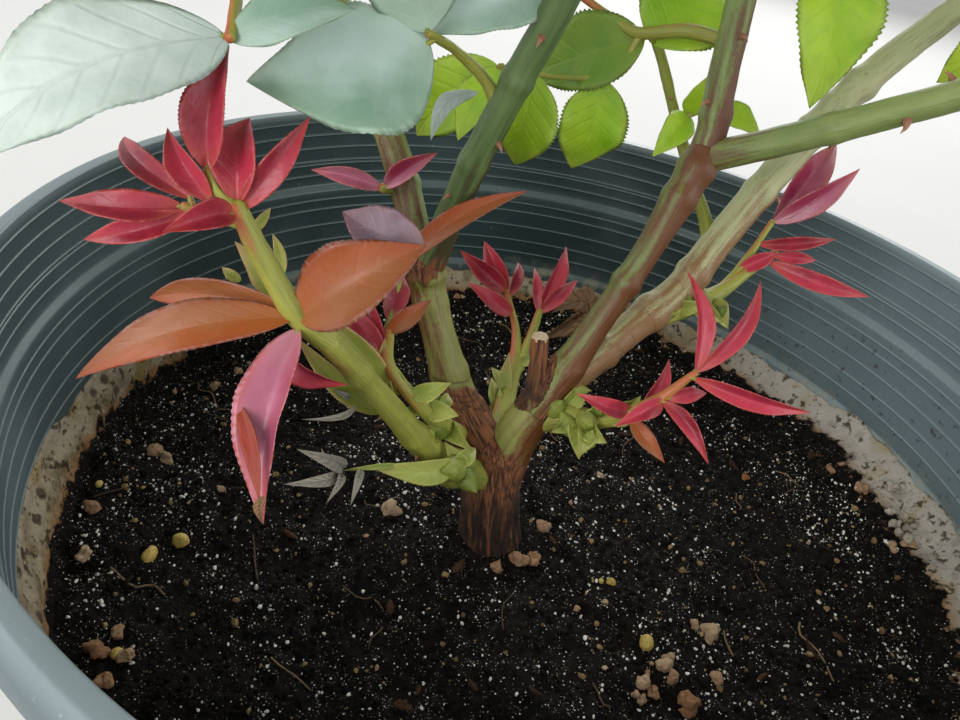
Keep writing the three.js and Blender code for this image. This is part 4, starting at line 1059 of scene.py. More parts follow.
CANES = dict(
    pale_cane=dict(points=[[-6, -16, 231], [2.6, -8, 237], [10, 0, 242], [24, 12, 254], [33, 22, 269],
                           [55, 38, 306], [81, 47, 339], [104, 56, 372], [122, 66, 412]],
                   radii=[5, 4.5, 4.4, 4.3, 4.0, 3.4, 2.9, 2.5, 2.1], look=pale_look, slot="pale_cane",
                   pale=0.8, lit=0.25, brown=[0.8, 0.8, 0.7, 0.3, 0.2, 0.35, 0.5, 0.55, 0.3],
                   bark=[0.3, 0.1, 0, 0],
                   swells=[(18, 0.7, 2), (36, 1.1, 3), (52, 0.7, 2.2), (80, 0.5, 2), (101, 0.8, 2),
                           (109, 0.7, 1.6), (117, 0.9, 2.4), (150, 0.5, 2)]),
    left_back_cane=dict(points=[[-44.5, -7, 252], [-48, -4, 260], [-55, 2, 274], [-70, 14, 295],
                                [-84, 24, 313], [-100, 33, 345], [-113, 38, 385]],
                        radii=[4.1, 3.7, 3.6, 3.4, 3, 2.4], pale=[0.7, 0.5, 0.15],
                        brown=[0.9, 0.4, 0.2, 0.25], bark=[0.7, 0.1, 0, 0, 0, 0, 0, 0, 0, 0], lit=-0.2,
                        swells=[(22, 0.5, 1.8), (60, 0.4, 1.8), (92, 0.5, 2)]),
    front_cane=dict(points=[[-43.5, -7.5, 252], [-41.5, -8, 262], [-37, -12, 282], [-31, -16, 303],
                            [-24, -21, 326], [-18, -32, 366], [-18, -46, 412]],
                    radii=[3.8, 3.4, 3.3, 3.2, 2.9, 2.3], look=glaucous_look, pale=[0.5, 0.25, 0.1],
                    brown=[0.9, 0.2, 0.1, 0.05], bark=[0.6, 0.1, 0, 0, 0, 0, 0, 0, 0, 0], lit=0.25,
                    swells=[(34, 0.4, 1.8), (56, 0.5, 1.8), (90, 0.4, 2)]),
    upright_cane=dict(points=[[16.5, 7, 289], [17, 8.5, 297], [16, 12, 310], [15, 17, 329], [14, 26, 370],
                              [12, 38, 430], [12, 46, 480]],
                      radii=[3.8, 3.3, 3.2, 3, 2.6, 2.1], pale=[0.3, 0.15],
                      brown=[1.0, 0.45, 0.4, 0.35, 0.3, 0.2], lit=0.3,
                      swells=[(12, 0.5, 1.8), (44, 0.4, 1.8), (90, 0.4, 2)]),
    outer_cane=dict(points=[[16, 7.2, 290], [22, 5, 294], [35, 1, 302], [59, -9, 319], [84, -23, 340],
                            [108, -40, 374], [124, -54, 412]],
                    radii=[3.7, 3.3, 3.2, 3.1, 2.8, 2.2], pale=[0.4, 0.75, 0.7],
                    brown=[0.8, 0.1, 0, 0, 0, 0, 0], swells=[(30, 0.35, 1.8), (66, 0.4, 1.8), (110, 0.4, 2)]),
    pale_side_shoot=dict(points=[[29.5, 18, 262], [27, 24, 269], [23, 32, 275], [16, 44, 286], [8, 54, 300],
                                 [1, 61, 312], [-8, 74, 345], [-16, 92, 390]],
                         radii=[1.9, 1.6, 1.5, 1.5, 1.4], look=young_look, brown=[0.2, 0.1]),
    low_left_bough=dict(points=[[-84, 24, 313], [-94, 15, 321], [-112, 4, 338], [-140, -16, 366]],
                        radii=[2.5, 2.2, 1.9]),
    low_back_left_bough=dict(points=[[-95, 30, 334], [-97, 44, 345], [-101, 66, 362], [-106, 92, 384]],
                             radii=[2.5, 2.2, 1.9]),
    low_front_left_bough=dict(points=[[-22, -25, 342], [-30, -38, 352], [-42, -62, 366], [-58, -92, 388]],
                              radii=[2.4, 2.1, 1.8]),
    low_front_right_bough=dict(points=[[90, -27, 347], [88, -40, 358], [83, -66, 374], [76, -96, 396]],
                               radii=[2.4, 2.1, 1.8]),
    low_right_bough=dict(points=[[86, 49, 345], [100, 44, 356], [126, 36, 376], [156, 26, 398]],
                         radii=[2.6, 2.2, 1.9], look=pale_look, slot="pale_cane", pale=0.5),
    low_back_right_bough=dict(points=[[78, 46, 336], [80, 60, 348], [84, 86, 370], [88, 114, 396]],
                              radii=[2.6, 2.2, 1.9], look=pale_look, slot="pale_cane", pale=0.5),
    high_left_bough=dict(points=[[-18, -37, 382], [-26, -33, 398], [-42, -23, 430], [-60, -12, 468]],
                         radii=[2.1, 1.9, 1.6]),
    high_right_bough=dict(points=[[13.5, 29, 386], [22, 26, 402], [40, 17, 436], [60, 6, 474]],
                          radii=[2.2, 1.9, 1.6]),
    left_young_shoot=dict(points=[[-18, -25, 205], [-27, -33, 212.5], [-36, -42, 227], [-45, -52, 245],
                                  [-52, -60, 259], [-54.5, -62, 263]],
                          radii=[4.3, 4.5, 3.5, 2.9, 2.6, 2.4], look=young_look, slot="young_stem",
                          pale=[0.2, 0.4, 0.5], brown=[0.1, 0.15, 0.4], lit=-0.1,
                          swells=[(14, 0.8, 3), (36, 0.4, 2), (66, 0.4, 2)]),
)
for name, cane in CANES.items():
    fields = {key: cane.get(key, 0.0) for key in ("pale", "brown", "bark")}
    shape = limb(cane["points"], cane["radii"], 26, 0.9, cane.get("swells", ()), cane_relief, **fields)
    _, _, outward = unrolled([smooth_path(cane["points"], 90)[0]], shape.points)
    shape.fields["brown"] += cane.get("lit", 0.0) * outward[:, 0]
    piece(name + "_wood", shape, cane.get("look", green_look), [name])

# Thorns: a short limb on the skin of a cane, hooked back towards its foot. Each is the cane, the share of the
# way along it, the angle round it and the length.

THORNS = [
    ("left_back_cane", 0.30, 4.4, 2.0), ("left_back_cane", 0.34, 5.0, 1.7),
    ("left_back_cane", 0.52, 2.0, 2.4), ("front_cane", 0.16, 4.0, 1.8), ("front_cane", 0.26, 5.6, 2.2),
    ("front_cane", 0.40, 4.6, 2.4), ("outer_cane", 0.17, 5.0, 2.8), ("outer_cane", 0.26, 3.6, 3.0),
    ("outer_cane", 0.30, 1.0, 2.6), ("outer_cane", 0.40, 4.6, 3.0), ("outer_cane", 0.47, 0.2, 2.6),
    ("upright_cane", 0.08, 3.8, 2.2), ("upright_cane", 0.15, 5.2, 2.4), ("upright_cane", 0.24, 4.2, 2.6),
    ("pale_cane", 0.20, 5.0, 2.0), ("pale_cane", 0.34, 4.4, 2.4), ("pale_cane", 0.50, 5.4, 2.6),
    ("left_young_shoot", 0.4, 4.6, 1.6), ("left_young_shoot", 0.62, 3.6, 1.6),
    ("pale_side_shoot", 0.3, 4.4, 1.4), ("pale_side_shoot", 0.5, 1.4, 1.4),
]
THORN_TURN = 2.4  # near the golden angle
THORN_STEPS = 80


def all_thorns():
    """The thorns listed, and more at the golden angle along the hidden upper part of each cane."""
    rows = list(THORNS)
    for name in ("left_back_cane", "front_cane", "upright_cane", "outer_cane", "pale_cane"):
        rows += [(name, share, THORN_TURN * k, 2.6) for k, share in enumerate(np.linspace(0.55, 0.94, 7))]
    for name in (name for name in CANES if name.endswith("bough")):
        rows += [(name, share, THORN_TURN * k, 2.2) for k, share in enumerate((0.3, 0.6, 0.85))]
    made = []
    for name, share, angle, size in rows:
        path, _ = smooth_path(CANES[name]["points"], THORN_STEPS + 1)
        tangent = unit(np.gradient(path, axis=0))
        side, other = cross_axes(tangent)
        k = int(share * THORN_STEPS)
        radii = CANES[name]["radii"]
        radius = np.interp(share, np.linspace(0, 1, len(radii)), radii)
        outward = np.cos(angle) * side[k] + np.sin(angle) * other[k]
        foot = path[k] + outward * (radius - 0.3)
        bend = foot + outward * 0.6 * size - tangent[k] * 0.1 * size
        tip = foot + outward * size - tangent[k] * 0.45 * size
        thickness = [0.4 * size, 0.18 * size, 0.04 * size]
        made.append(limb([foot, bend, tip], thickness, 10, 0.3, tint=[0.2, 0.5, 1.0]))
    return Shape.joined(made)


piece("thorns", all_thorns(), speck_finish("thorn", "6e3a2a", "b98a6a", 0.45, "5a2a20"))

# Young shoots and the leaves below the crown. stems holds the points and radii of each stem. Every other list
# is of leaflets in one of LOOKS: base, tip, width and, where it matters, the way the face points and the bend
# aside.

SPRAYS = dict(
    left_young_leaves=dict(
        slot="copper_leaf",
        stems=[([[-54, -61.6, 262.2], [-59, -64.5, 268], [-65.5, -65, 278], [-71, -65, 288]],
                [2.4, 2.2, 1.6]),
               ([[-70, -65, 285], [-75, -66, 286], [-79, -67.5, 287]], [1.2, 0.9]),
               ([[-71, -65, 287], [-74, -65, 290], [-76, -64.5, 293]], [1.1, 0.8])],
        red=[(-76, -64.5, 293, -75, -59, 312, 7.2), (-70.5, -64.5, 287, -62, -57, 303, 4.8),
             (-71, -64.5, 288, -73, -54, 300, 8), (-75, -65.5, 288, -84, -62, 298, 5),
             (-78, -66, 288, -98, -53, 292, 4.5), (-79, -67.5, 287, -97, -74, 287, 5.5),
             (-77, -67, 286, -95, -73, 280, 4.5), (-71, -66, 287, -77, -78, 288, 5)],
        copper=[(-60, -66, 269, -95, -81, 259, 9, 0.1, -0.6, 1), (-61, -65, 270, -93, -60, 262, 6),
                (-59, -66, 269, -40, -62, 287, 14.5, -0.5, -1, 0.5)],
        pink=[(-59, -66, 267, -57, -93, 245, 10, -0.2, -1, 0.5)]),
    left_small_shoot=dict(
        slot="red_leaf",
        stems=[([[-26, -21, 214], [-30, -32, 224], [-37, -43, 238], [-45, -43, 247], [-47, -37, 252]],
                [2.6, 2.4, 1.7, 1.2]),
               ([[-47, -37, 251], [-47.5, -30, 256], [-48, -23, 261]], [1.1, 0.8])],
        copper=[(-48, -23, 261, -24, -14, 283, 5.5, -0.6, -1, 0.4),
                (-47, -38, 252, -39, -34, 260, 4.5, 0, -1, 0.5)],
        red=[(-47.5, -35, 253, -47, -24, 260, 5.5, 0, -1, 1), (-47, -40, 250, -56, -28, 256, 4),
             (-46, -42, 248, -60, -36, 256, 5)],
        lime=[(-39, -44, 241, -31, -44, 246, 4.5), (-35, -41, 235, -28, -43, 237, 5),
              (-29, -30, 222, -24, -40, 226, 5), (-33, -37, 230, -40, -38, 236, 3.5)]),
    cane_shoot=dict(
        slot="red_leaf",
        stems=[([[-54, 1, 270], [-57, -3.5, 270.5], [-57.5, -5, 271]], [1.8, 1.4])],
        pink=[(-57.5, -4.5, 270.5, -75, -7, 273, 4.5), (-57, -5.5, 271.5, -46, -6, 283, 5, -0.5, -1, 0.3)]),
    middle_young_shoot=dict(
        slot="red_leaf",
        stems=[([[-15.5, -16, 203], [-16, -8, 210], [-16, 2, 214], [-15.5, 11, 219.5], [-17, 19, 225],
                 [-22, 29, 232]],
                [3.0, 3.2, 2.5, 1.2, 0.8]),
               ([[-15.8, 6, 216], [-13, 14, 221.5], [-11, 26, 230]], [2.1, 1.7, 1.0])],
        red=[(-22, 29, 232, -38, 30, 242, 6), (-22, 29.5, 232, -32, 39, 243, 5.5),
             (-19, 23, 228, -33, 20, 237, 5.5), (-21, 28, 231, -20, 38, 239, 3.5),
             (-11, 26, 230, -6, 42, 246, 5.5), (-11, 25, 229.5, -1, 33, 239, 4.5),
             (-11.5, 25, 229.5, -15, 34, 240, 3.5)],
        lime=[(-16, -6, 210, -10, -4, 216, 4), (-16, 3, 214, -22, 6, 219, 3.5),
              (-15, 10, 219, -9, 12, 223, 3.5)]),
    right_low_shoot=dict(
        slot="red_leaf",
        stems=[([[-9, -19, 222], [-2, -20.5, 226.5], [6, -21, 228], [14, -23, 234], [20, -23, 240.5],
                 [26, -21, 248]],
                [3.8, 3.4, 2.6, 2, 1.4, 0.9])],
        red=[(26, -21, 248, 20, -7, 268, 4.8), (26, -21, 248, 40, -3, 268, 4.6, 0.2, -1, 0.6, 0.06),
             (25.5, -22, 247, 55, -26, 247, 4.6, 0.2, -1, 0.6, 0.04), (16, -23, 236, 22, -13, 246, 4),
             (14, -23, 234.5, 0, -29, 240, 4.5), (21, -24, 241, 31, -21, 243, 4),
             (20, -24, 240, 10, -34, 237, 4.5), (20, -24, 240, 32, -37, 235, 4.0)],
        copper=[(14, -24, 233, 24, -32, 228, 4.5)],
        lime=[(2, -21, 228, 4, -31, 223, 6.5), (8, -22, 229, 16, -20, 237, 6),
              (-2, -19, 226, 3, -12, 233, 5)]),
    right_high_shoot=dict(
        slot="red_leaf",
        stems=[([[16, 4, 246], [21, 7, 247.5], [35, 17, 251.5], [43, 23, 257.5], [50, 28, 263]],
                [3.4, 3.2, 2.3, 1.6, 1]),
               ([[35, 17, 251], [41, 24, 258], [47, 32, 270]], [1.6, 1.2, 0.8])],
        red=[(48, 26, 260.5, 78, 20, 260, 5.4, 0.2, -1, 0.6, 0.07), (49, 27, 262, 63, 29, 263, 3.5),
             (44, 28, 264, 66, 30, 270, 3.9),
             (40, 23, 257.5, 50, 25, 264, 4.5)],
        pink=[(47, 32, 270, 62, 46, 292, 9), (47, 31.5, 270, 65, 34, 289, 7)],
        lime=[(33, 15, 250, 39, 8, 247, 6), (24, 9, 248, 30, 4, 254, 4.5)]),
    front_leaf=dict(
        stems=[([[-32, -15, 297], [-36.5, -15.5, 303.5], [-43, -21, 309.5], [-48, -29, 313.5]],
                [1.8, 1.3, 1, 0.8])],
        grey=[(-47.5, -28, 311.5, -74.5, -50, 306, 25, 0, -0.85, 0.6, -0.15),
              (-48, -29, 313.5, -56, -44, 334, 18, -0.5, 0, 1)]),
    hanging_front_leaf=dict(
        stems=[([[-85, 24.5, 314.5], [-86, 6, 326], [-83, -25, 327], [-75, -57, 312.5]], [1.5, 1.2, 1])],
        hazy=[(-76, -56, 312.5, -102, -88, 299, 20, 0.2, -0.9, 1, 0.07),
              (-82, -30, 325, -112, -32, 322, 22, 0, 0, 1)],
        grey=[(-75.5, -56, 312, -58, -47, 320, 9, 0, -0.85, 0.6)]),
    back_leaves=dict(
        stems=[([[15.3, 15.5, 316], [6, 18, 316], [-5, 20, 313], [-12, 24, 314.5], [-26, 32, 319]],
                [1.8, 1.6, 1, 0.8]),
               ([[-4, 20, 313], [-9, 18, 303], [-22, 16, 300], [-36, 14, 300]], [0.9, 0.7, 0.7])],
        shade=[(-3, 20, 312, -30, 25, 297, 19, 0.3, -1, 0.7)],
        sunlit=[(-10.5, 17.5, 301.5, -12, 20, 276, 18, 0.2, -1, 0),
                (-27, 15, 300, -28, 18, 274, 18, -0.2, -1, 0),
                (-36, 14, 300, -57, 22, 276, 18, -0.4, -1, 0.4),
                (-35.5, 14, 300, -43, 4, 284, 11, -0.6, -1, 0.2), (-1, 20, 311, 12, 34, 328, 24, 0, -1, 1)]),
    side_leaves=dict(
        stems=[([[14.5, 45.5, 288], [19, 47, 291], [26, 49, 293.5]], [0.9, 0.8])],
        sunlit=[(18, 47, 290, 10, 31, 283, 9, 0, -1, 0.4), (24, 48.7, 293, 39, 45, 290, 8, 0, -1, 0.6),
                (18, 47, 290, 19, 41, 302, 7, 0, -1, 0)]),
    right_leaf=dict(
        stems=[([[15, 19.5, 337], [24, 28, 345], [38, 38, 340]], [1.3, 1, 0.8])],
        sunlit=[(37, 37.5, 340.5, 43, 24, 304, 22, 0, -1, 0.2), (26, 29.5, 344.5, 22, 58, 340, 20, 0, 0, 1),
                (37, 37.5, 340, 60, 50, 345, 20, 0, 0, 1)]),
    far_right_leaf=dict(
        stems=[([[76, 45, 333.5], [84, 40, 333], [92, 36, 330]], [1.3, 0.9])],
        sunlit=[(86, 39, 332.5, 76, 38, 313, 15, 0, -1, 0.2), (92, 36, 330, 112, 26, 316, 17, 0, -0.5, 1)]),
)

# Each look of a leaflet: its material, its bends in the order of BENDS, and how far its teeth stand out

LOOKS = dict(
    red=(leaf_finish("red_leaf", "7a1026", "b4364a", "b0441f", "b45464", "c06050", 0.32, 0.04, 0.35,
                     halves=0.5), (0.62, 0.07, 0.14, 0.6, 0.06), 0.022),
    pink=(leaf_finish("pink_leaf", "8e2a48", "b0687e", "b0502c", "c08494", "c48c94", 0.27, 0.04, 0.3,
                      bloom=0.45, halves=0.9), (0.6, 0.06, 0.1, 0.5, 0.05), 0.018),
    copper=(leaf_finish("copper_leaf", "96430a", "8c522a", "6a1a1a", "8a6c6a", "a05a22", 0.38, 0.06, 0.3,
                        halves=1.0), (0.42, 0.07, 0.12, 0.4, 0.05), 0.014),
    lime=(leaf_finish("bract", "7a8636", "a0a654", "a8924c", "8ca04c", "aebe6c", 0.4, 0.15),
          (0.6, 0.14, 0.14, 0.6, 0.08), 0.015),
    wing=(leaf_finish("stipule", "808c36", "a3a64e", "c89a70", "8c9a48", "a8ae58", 0.45, 0.1, 0.25,
                      bloom=0.6), (0.35, 0.05, -0.08, 0.4, 0.04), 0.03),
    dry=(leaf_finish("dry_leaf", "6a675c", "979386", "84705f", "807b70", "a39d92", 0.75, 0.3, 0.5),
         (0.7, 0.16, 0.3, 1.1, 0.12), 0.06),
    scarlet=(leaf_finish("scarlet_leaf", "741c08", "8e2c16", "8e4a20", "7c2a18", "8e3c20", 0.45, 0.04, 0.3),
             (0.3, 0.06, 0.04, 0.2, 0.08), 0.03),
    brown=(leaf_finish("dead_leaf", "5b4029", "8a6a48", "5c4028", "7c5e40", "a08058", 0.75, 0.6, 0.8),
           (0.7, 0.3, 0.4, 1.3, 0.1), 0.1),
    # A grey mauve that stands for the sheen on a leaf's upper face: painted sheen.
    mauve=(leaf_finish("mauve_leaf", "5e4a56", "8a7480", "7a3030", "84727a", "9a7c78", 0.4, 0.08, 0.4,
                       halves=0.8), (0.3, 0.08, 0.1, 0.4, 0.05), 0.03),
    grey=(leaf_finish("green_leaf", "7c9a87", "aec3bb", "84a07c", "a2b8a4", "adc2b2", 0.42, 0.08, 0.25,
                      halves=1.0), (0.16, 0.05, 0.14, 0.2, 0.04), 0.012),
    hazy=(leaf_finish("pale_leaf", "9caca5", "ccd7d2", "a8b6a6", "a4b4a4", "a0b2aa", 0.42, 0.2, 0.35),
          (0.16, 0.05, 0.14, 0.2, 0.04), 0.01),
    shade=(leaf_finish("shaded_leaf", "5a8012", "869c30", "90984c", "5c7c30", "84983a", 0.45, 0.2, 0.25),
           (0.2, 0.06, 0.12, 0.3, 0.05), 0.035),
    sunlit=(leaf_finish("sunlit_leaf", "78a80c", "b0d02c", "b8bc60", "8cb03e", "94b43c", 0.45, 0.2, 0.25),
            (0.2, 0.06, 0.12, 0.3, 0.05), 0.035),
)
SHOWN_ROWS, SHOWN_COLUMNS = 61, 13  # points along and across a leaflet that shows
SHOWN_FACE = (0.2, -1.0, 0.6)


def leaf_arrays(rows, fold, bow, curl, twist, sickle):
    """The fields that blades() needs from rows of base, tip, width and, if given, the facing and the bend
    aside, with every bend varied by chance."""
    count = len(rows)
    up = np.array([row[7:10] if len(row) > 7 else SHOWN_FACE for row in rows], float)
    put = np.array([row[:7] for row in rows], float)
    vary = 0.7 + 0.6 * chance.random((3, count))
    either = 2 * chance.random((2, count)) - 1
    aside = np.array([row[10] if len(row) > 10 else sickle * share for row, share in zip(rows, either[1])])
    return dict(base=put[:, :3], tip=put[:, 3:6], width=put[:, 6], up=up, fold=fold * vary[0],
                bow=bow * vary[1], curl=curl * vary[2], twist=twist * either[0], sickle=aside,
                tint=chance.random(count))


def petioles(stems, rows):
    """A thin limb from the nearest place on the stems to each leaflet's base."""
    line = np.concatenate([smooth_path(points, 60)[0] for points, _ in stems])
    made = []
    for row in rows:
        base = np.array(row[:3], float)
        foot = line[np.argmin(np.linalg.norm(line - base, axis=1))]
        forward = unit(np.array(row[3:6]) - base)
        foot = foot - forward * 0.5
        path = [foot, (foot + base) / 2, base + forward * 0.8]
        made.append(limb(path, [0.75, 0.6, 0.5], 8, 0.8, pale=0.2, brown=0.35, bark=0.0))
    return made


STEM_FIELDS = dict(pale=[0.6, 0.4, 0.3], brown=[0.15, 0.35, 0.75], bark=0.0)


for name, spray in SPRAYS.items():
    kinds = [kind for kind in LOOKS if kind in spray]
    woods = []
    for points, radii in spray["stems"]:
        stem = limb(points, radii, 14, 0.7, (), cane_relief, **STEM_FIELDS)
        _, _, outward = unrolled([smooth_path(points, 60)[0]], stem.points)
        stem.fields["brown"] -= 0.4 * outward[:, 0]
        woods.append(stem)
    for kind in kinds:
        woods += petioles(spray["stems"], spray[kind])
    piece(name + "_stems", Shape.joined(woods), young_look, [name])
    for kind in kinds:
        look, bend, teeth = LOOKS[kind]
        leaves = blades(leaf_arrays(spray[kind], *bend), SHOWN_ROWS, SHOWN_COLUMNS, teeth, 0.45)
        piece(name + "_" + kind, leaves, look, weld=0.01)


# Small things measured on the shoots: place across and down the picture, depth, and radius

BUDS = [(464, 477, 191, 2.9), (454, 468, 187, 3.6), (440, 412, 186, 2.3), (437, 404, 187, 1.8),
        (438, 432, 189, 2.5), (430, 442, 188, 2.0), (468, 466, 193, 2.2), (555, 411, 201, 2.8),
        (562, 400, 203, 2.6), (570, 428, 199, 2.7), (586, 420, 198, 3.0), (588, 442, 196, 2.2),
        (574, 390, 203, 2.2), (600, 408, 199, 2.4), (663, 312, 214, 2.9), (672, 300, 214, 2.6),
        (661, 300, 216, 2.3), (684, 304, 214, 2.5), (716, 314, 216, 2.1), (705, 302, 214, 2.2)]


def buds():
    """Closed buds in their scales: plump limbs that run to a point and lean by chance."""
    made = []
    for across, down, depth, radius in BUDS:
        middle = seen_at(across, down, depth)
        lean = unit(np.array([0.0, -0.2, 1.0]) + chance.normal(0, 0.55, 3)) * radius
        path = [middle - 0.9 * lean, middle, middle + 0.9 * lean, middle + 1.9 * lean]
        made.append(limb(path, radius * np.array([0.5, 0.95, 0.72, 0.12]), 20, 0.5, tint=chance.random()))
    return Shape.joined(made)


piece("buds", buds(), speck_finish("bud", "606e26", "888e3e", 0.45, "566624"), weld=0)


def shown_leaves(name, kind, rows):
    """Leaves given by the place across and down the picture and the depth of base and tip, then width and, if
    given, the facing and the bend aside."""
    placed = [(*seen_at(*row[:3]), *seen_at(*row[3:6]), *row[6:]) for row in rows]
    look, bend, teeth = LOOKS[kind]
    leaves = blades(leaf_arrays(placed, *bend), SHOWN_ROWS, SHOWN_COLUMNS, teeth, 0.5)
    piece(name, leaves, look, weld=0.01)


shown_leaves("shoot_bracts", "lime", [
    (456, 464, 188, 372, 466, 174, 6.0, 0, -1, 0.8, -0.06),
    (402, 466, 179, 343, 471, 168, 1.5, 0, -1, 0.8, 0.03), (462, 472, 190, 446, 444, 186, 4.6),
    (450, 466, 186, 478, 448, 190, 4.0), (440, 414, 186, 420, 392, 180, 3.6),
    (440, 410, 186, 448, 392, 188, 3.4), (436, 434, 188, 418, 424, 182, 3.6),
    (400, 395, 176, 392, 362, 172, 4.0), (405, 412, 178, 424, 402, 182, 3.4),
    (556, 412, 201, 551, 384, 204, 4.4), (560, 410, 201, 582, 382, 203, 5.0),
    (575, 424, 199, 606, 398, 200, 4.8), (584, 426, 198, 580, 456, 194, 5.6),
    (588, 428, 198, 606, 442, 194, 5.0), (566, 420, 200, 552, 432, 197, 4.0),
    (604, 420, 199, 636, 402, 198, 5.0), (664, 316, 214, 652, 294, 216, 4.6),
    (668, 312, 214, 678, 284, 215, 5.0), (690, 308, 214, 724, 322, 212, 4.6),
    (690, 304, 215, 704, 282, 217, 5.0), (502, 418, 226, 492, 376, 228, 4.2)])
shown_leaves("left_stipules", "wing", [
    (392, 396, 178, 318, 306, 160, 5.6, 0, -1, 0.7, 0.04),
    (380, 414, 178, 292, 330, 156, 5.0, 0, -1, 0.7, -0.04),
    (294, 322, 154, 236, 240, 149, 6.0, 0, -1, 0.6, 0.05), (253, 233, 147, 271, 208, 148, 2.0),
    (284, 274, 150, 273, 234, 150, 2.2), (241, 281, 148, 222, 267, 147, 2.2),
    (384, 396, 176, 386, 336, 172, 3.6, 0, -1, 0.7), (492, 424, 226, 508, 352, 228, 5.0)])
shown_leaves("cane_leaf", "grey", [(556, -8, 153, 429, 27, 150, 13, 0, -0.85, 0.6)])
shown_leaves("pale_tip", "hazy", [(478, 92, 172, 431, 133, 166, 4.5, 0, -0.6, 1, 0.16)])
# The copper leaf's far half, turned up behind its midrib, with painted sheen as its grey mauve.
shown_leaves("turned_half", "mauve", [(424, 247, 141, 340, 211, 142, 9.5, 0, -1, 0.5, -0.05)])
shown_leaves("low_red_leaf", "red", [(277, 338, 148, 343, 388, 145, 6.2, -0.3, -1, 0.2, 0.08)])
shown_leaves("withered_leaflets", "dry", [
    (343, 469, 170, 307, 458, 160, 3.4), (340, 471, 169, 296, 486, 160, 2.8),
    (336, 472, 168, 316, 484, 163, 1.6), (338, 473, 169, 329, 498, 162, 1.8),
    (361, 470, 171, 353, 500, 164, 1.9), (328, 465, 167, 322, 452, 163, 1.3),
    (356, 404, 168, 311, 419, 158, 1.5), (350, 398, 168, 336, 392, 164, 1.4)])
shown_leaves("fallen_leaf", "brown", [
    (604, 322, 292, 552, 326, 284, 12, 0, -0.6, 1), (600, 312, 294, 556, 306, 292, 10, 0, -0.8, 1),
    (598, 330, 288, 566, 334, 282, 7, 0.3, -0.6, 1)])

# The crown: each mass is one stem that runs on from its limb's tip, with twigs, finer twigs and compound
# leaves. A mass is the limb that carries it and its middle.

MASSES = dict(
    left_mass=("left_back_cane", (-142, 48, 466)), front_mass=("front_cane", (-12, -72, 494)),
    top_mass=("upright_cane", (10, 54, 566)), right_mass=("outer_cane", (144, -70, 478)),
    back_right_mass=("pale_cane", (142, 82, 492)), back_mass=("pale_side_shoot", (-22, 124, 470)),
    low_left_mass=("low_left_bough", (-176, -40, 420)),
    low_back_left_mass=("low_back_left_bough", (-112, 148, 436)),
    low_front_left_mass=("low_front_left_bough", (-82, -130, 436)),
    low_front_right_mass=("low_front_right_bough", (64, -142, 446)),
    low_right_mass=("low_right_bough", (202, 14, 440)),
    low_back_right_mass=("low_back_right_bough", (88, 168, 446)),
    high_left_mass=("high_left_bough", (-82, -14, 550)),
    high_right_mass=("high_right_bough", (84, -6, 554)),
)
REACH = np.array([88.0, 88.0, 84.0])  # half axes of each mass's ellipsoid
MARGIN, OVERHANG = 8.0, 6.0  # kept from the CAD box, and let past a mass's own solid
UNDERSIDE, RISE_X, RISE_Y = 338.0, 0.196, -0.15  # the plane below which the crown is bare
SIDEWAYS = np.array([0.31, 0.17, 1.0])  # no stem runs along it
GOLDEN = np.radians(137.5)
LEAFLET, PAIR_SPREAD = 42.0, np.radians(56)
STALKS = (52, 42, 33)  # lengths tried for a leaf's stalk
TURNS = (0, 0.9, -0.9, 2.0)  # and how far it is turned
LEAFLETS = ((0.4, 1, 0.8), (0.45, -1, 0.8), (0.7, 1, 0.86),
            (0.75, -1, 0.86), (0.98, 0, 1.0))  # place along the stalk, side and size of each
LEAF_GAP, FEWEST = 9, 3  # between leaflets, and leaflets that make a leaf
STEM_LEAVES, STEM_TWIGS = 8, 7
STEM_STEPS = 40
CAD_LOW, CAD_HIGH = (np.array(corner) / METRES for corner in cad_box)


def space(name):
    """A mass's space: its centre, the planes halfway to its neighbours, and a box near its own solid."""
    centre = np.array(MASSES[name][1], float)
    across = np.array([middle for other, (_, middle) in MASSES.items() if other != name]) - centre
    distance = np.linalg.norm(across, axis=1)
    low, high = (np.array(corner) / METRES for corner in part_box(name))
    low, high = np.maximum(low - OVERHANG, CAD_LOW + MARGIN), np.minimum(high + OVERHANG, CAD_HIGH - MARGIN)
    return centre, across / distance[:, None], distance / 2 - 0.6, low, high


def inside(points, room):
    """Which points lie in a mass's space: its ellipsoid, its side of each plane, its box, and above the
    crown's sloping underside."""
    centre, across, limit, low, high = room
    away = points - centre
    fine = ((away / REACH) ** 2).sum(-1) <= 1
    fine &= points[..., 2] >= UNDERSIDE + RISE_X * points[..., 0] + RISE_Y * points[..., 1]
    fine &= (away @ across.T <= limit).all(-1)
    return fine & ((points >= low) & (points <= high)).all(-1)


def outward_of(axis, angle):
    """The direction square to a stem at an angle round it."""
    first = unit(np.cross(axis, SIDEWAYS))
    return np.cos(angle) * first + np.sin(angle) * np.cross(axis, first)


def compound(foot, aim, face, length):
    """A drooping stalk, and its leaflets as rows of base, tip, facing and width: pairs along it and one at
    its end."""
    side = unit(np.cross(aim, face))
    upper = np.cross(side, aim)

    def on_stalk(share):
        """The stalk sinks by the square of the share of its length."""
        return foot + aim * share * length - upper * 0.2 * length * share**2

    size = LEAFLET * length / STALKS[0]
    rows = []
    for share, angle, part in LEAFLETS:
        start = on_stalk(share)
        ahead = unit(on_stalk(share + 0.05) - start)
        heading = ahead * np.cos(angle * PAIR_SPREAD) + side * np.sin(angle * PAIR_SPREAD)
        rows.append((start, start + heading * part * size, upper, 0.66 * part * size))
    return [on_stalk(share) for share in (0, 0.5, 1)], rows


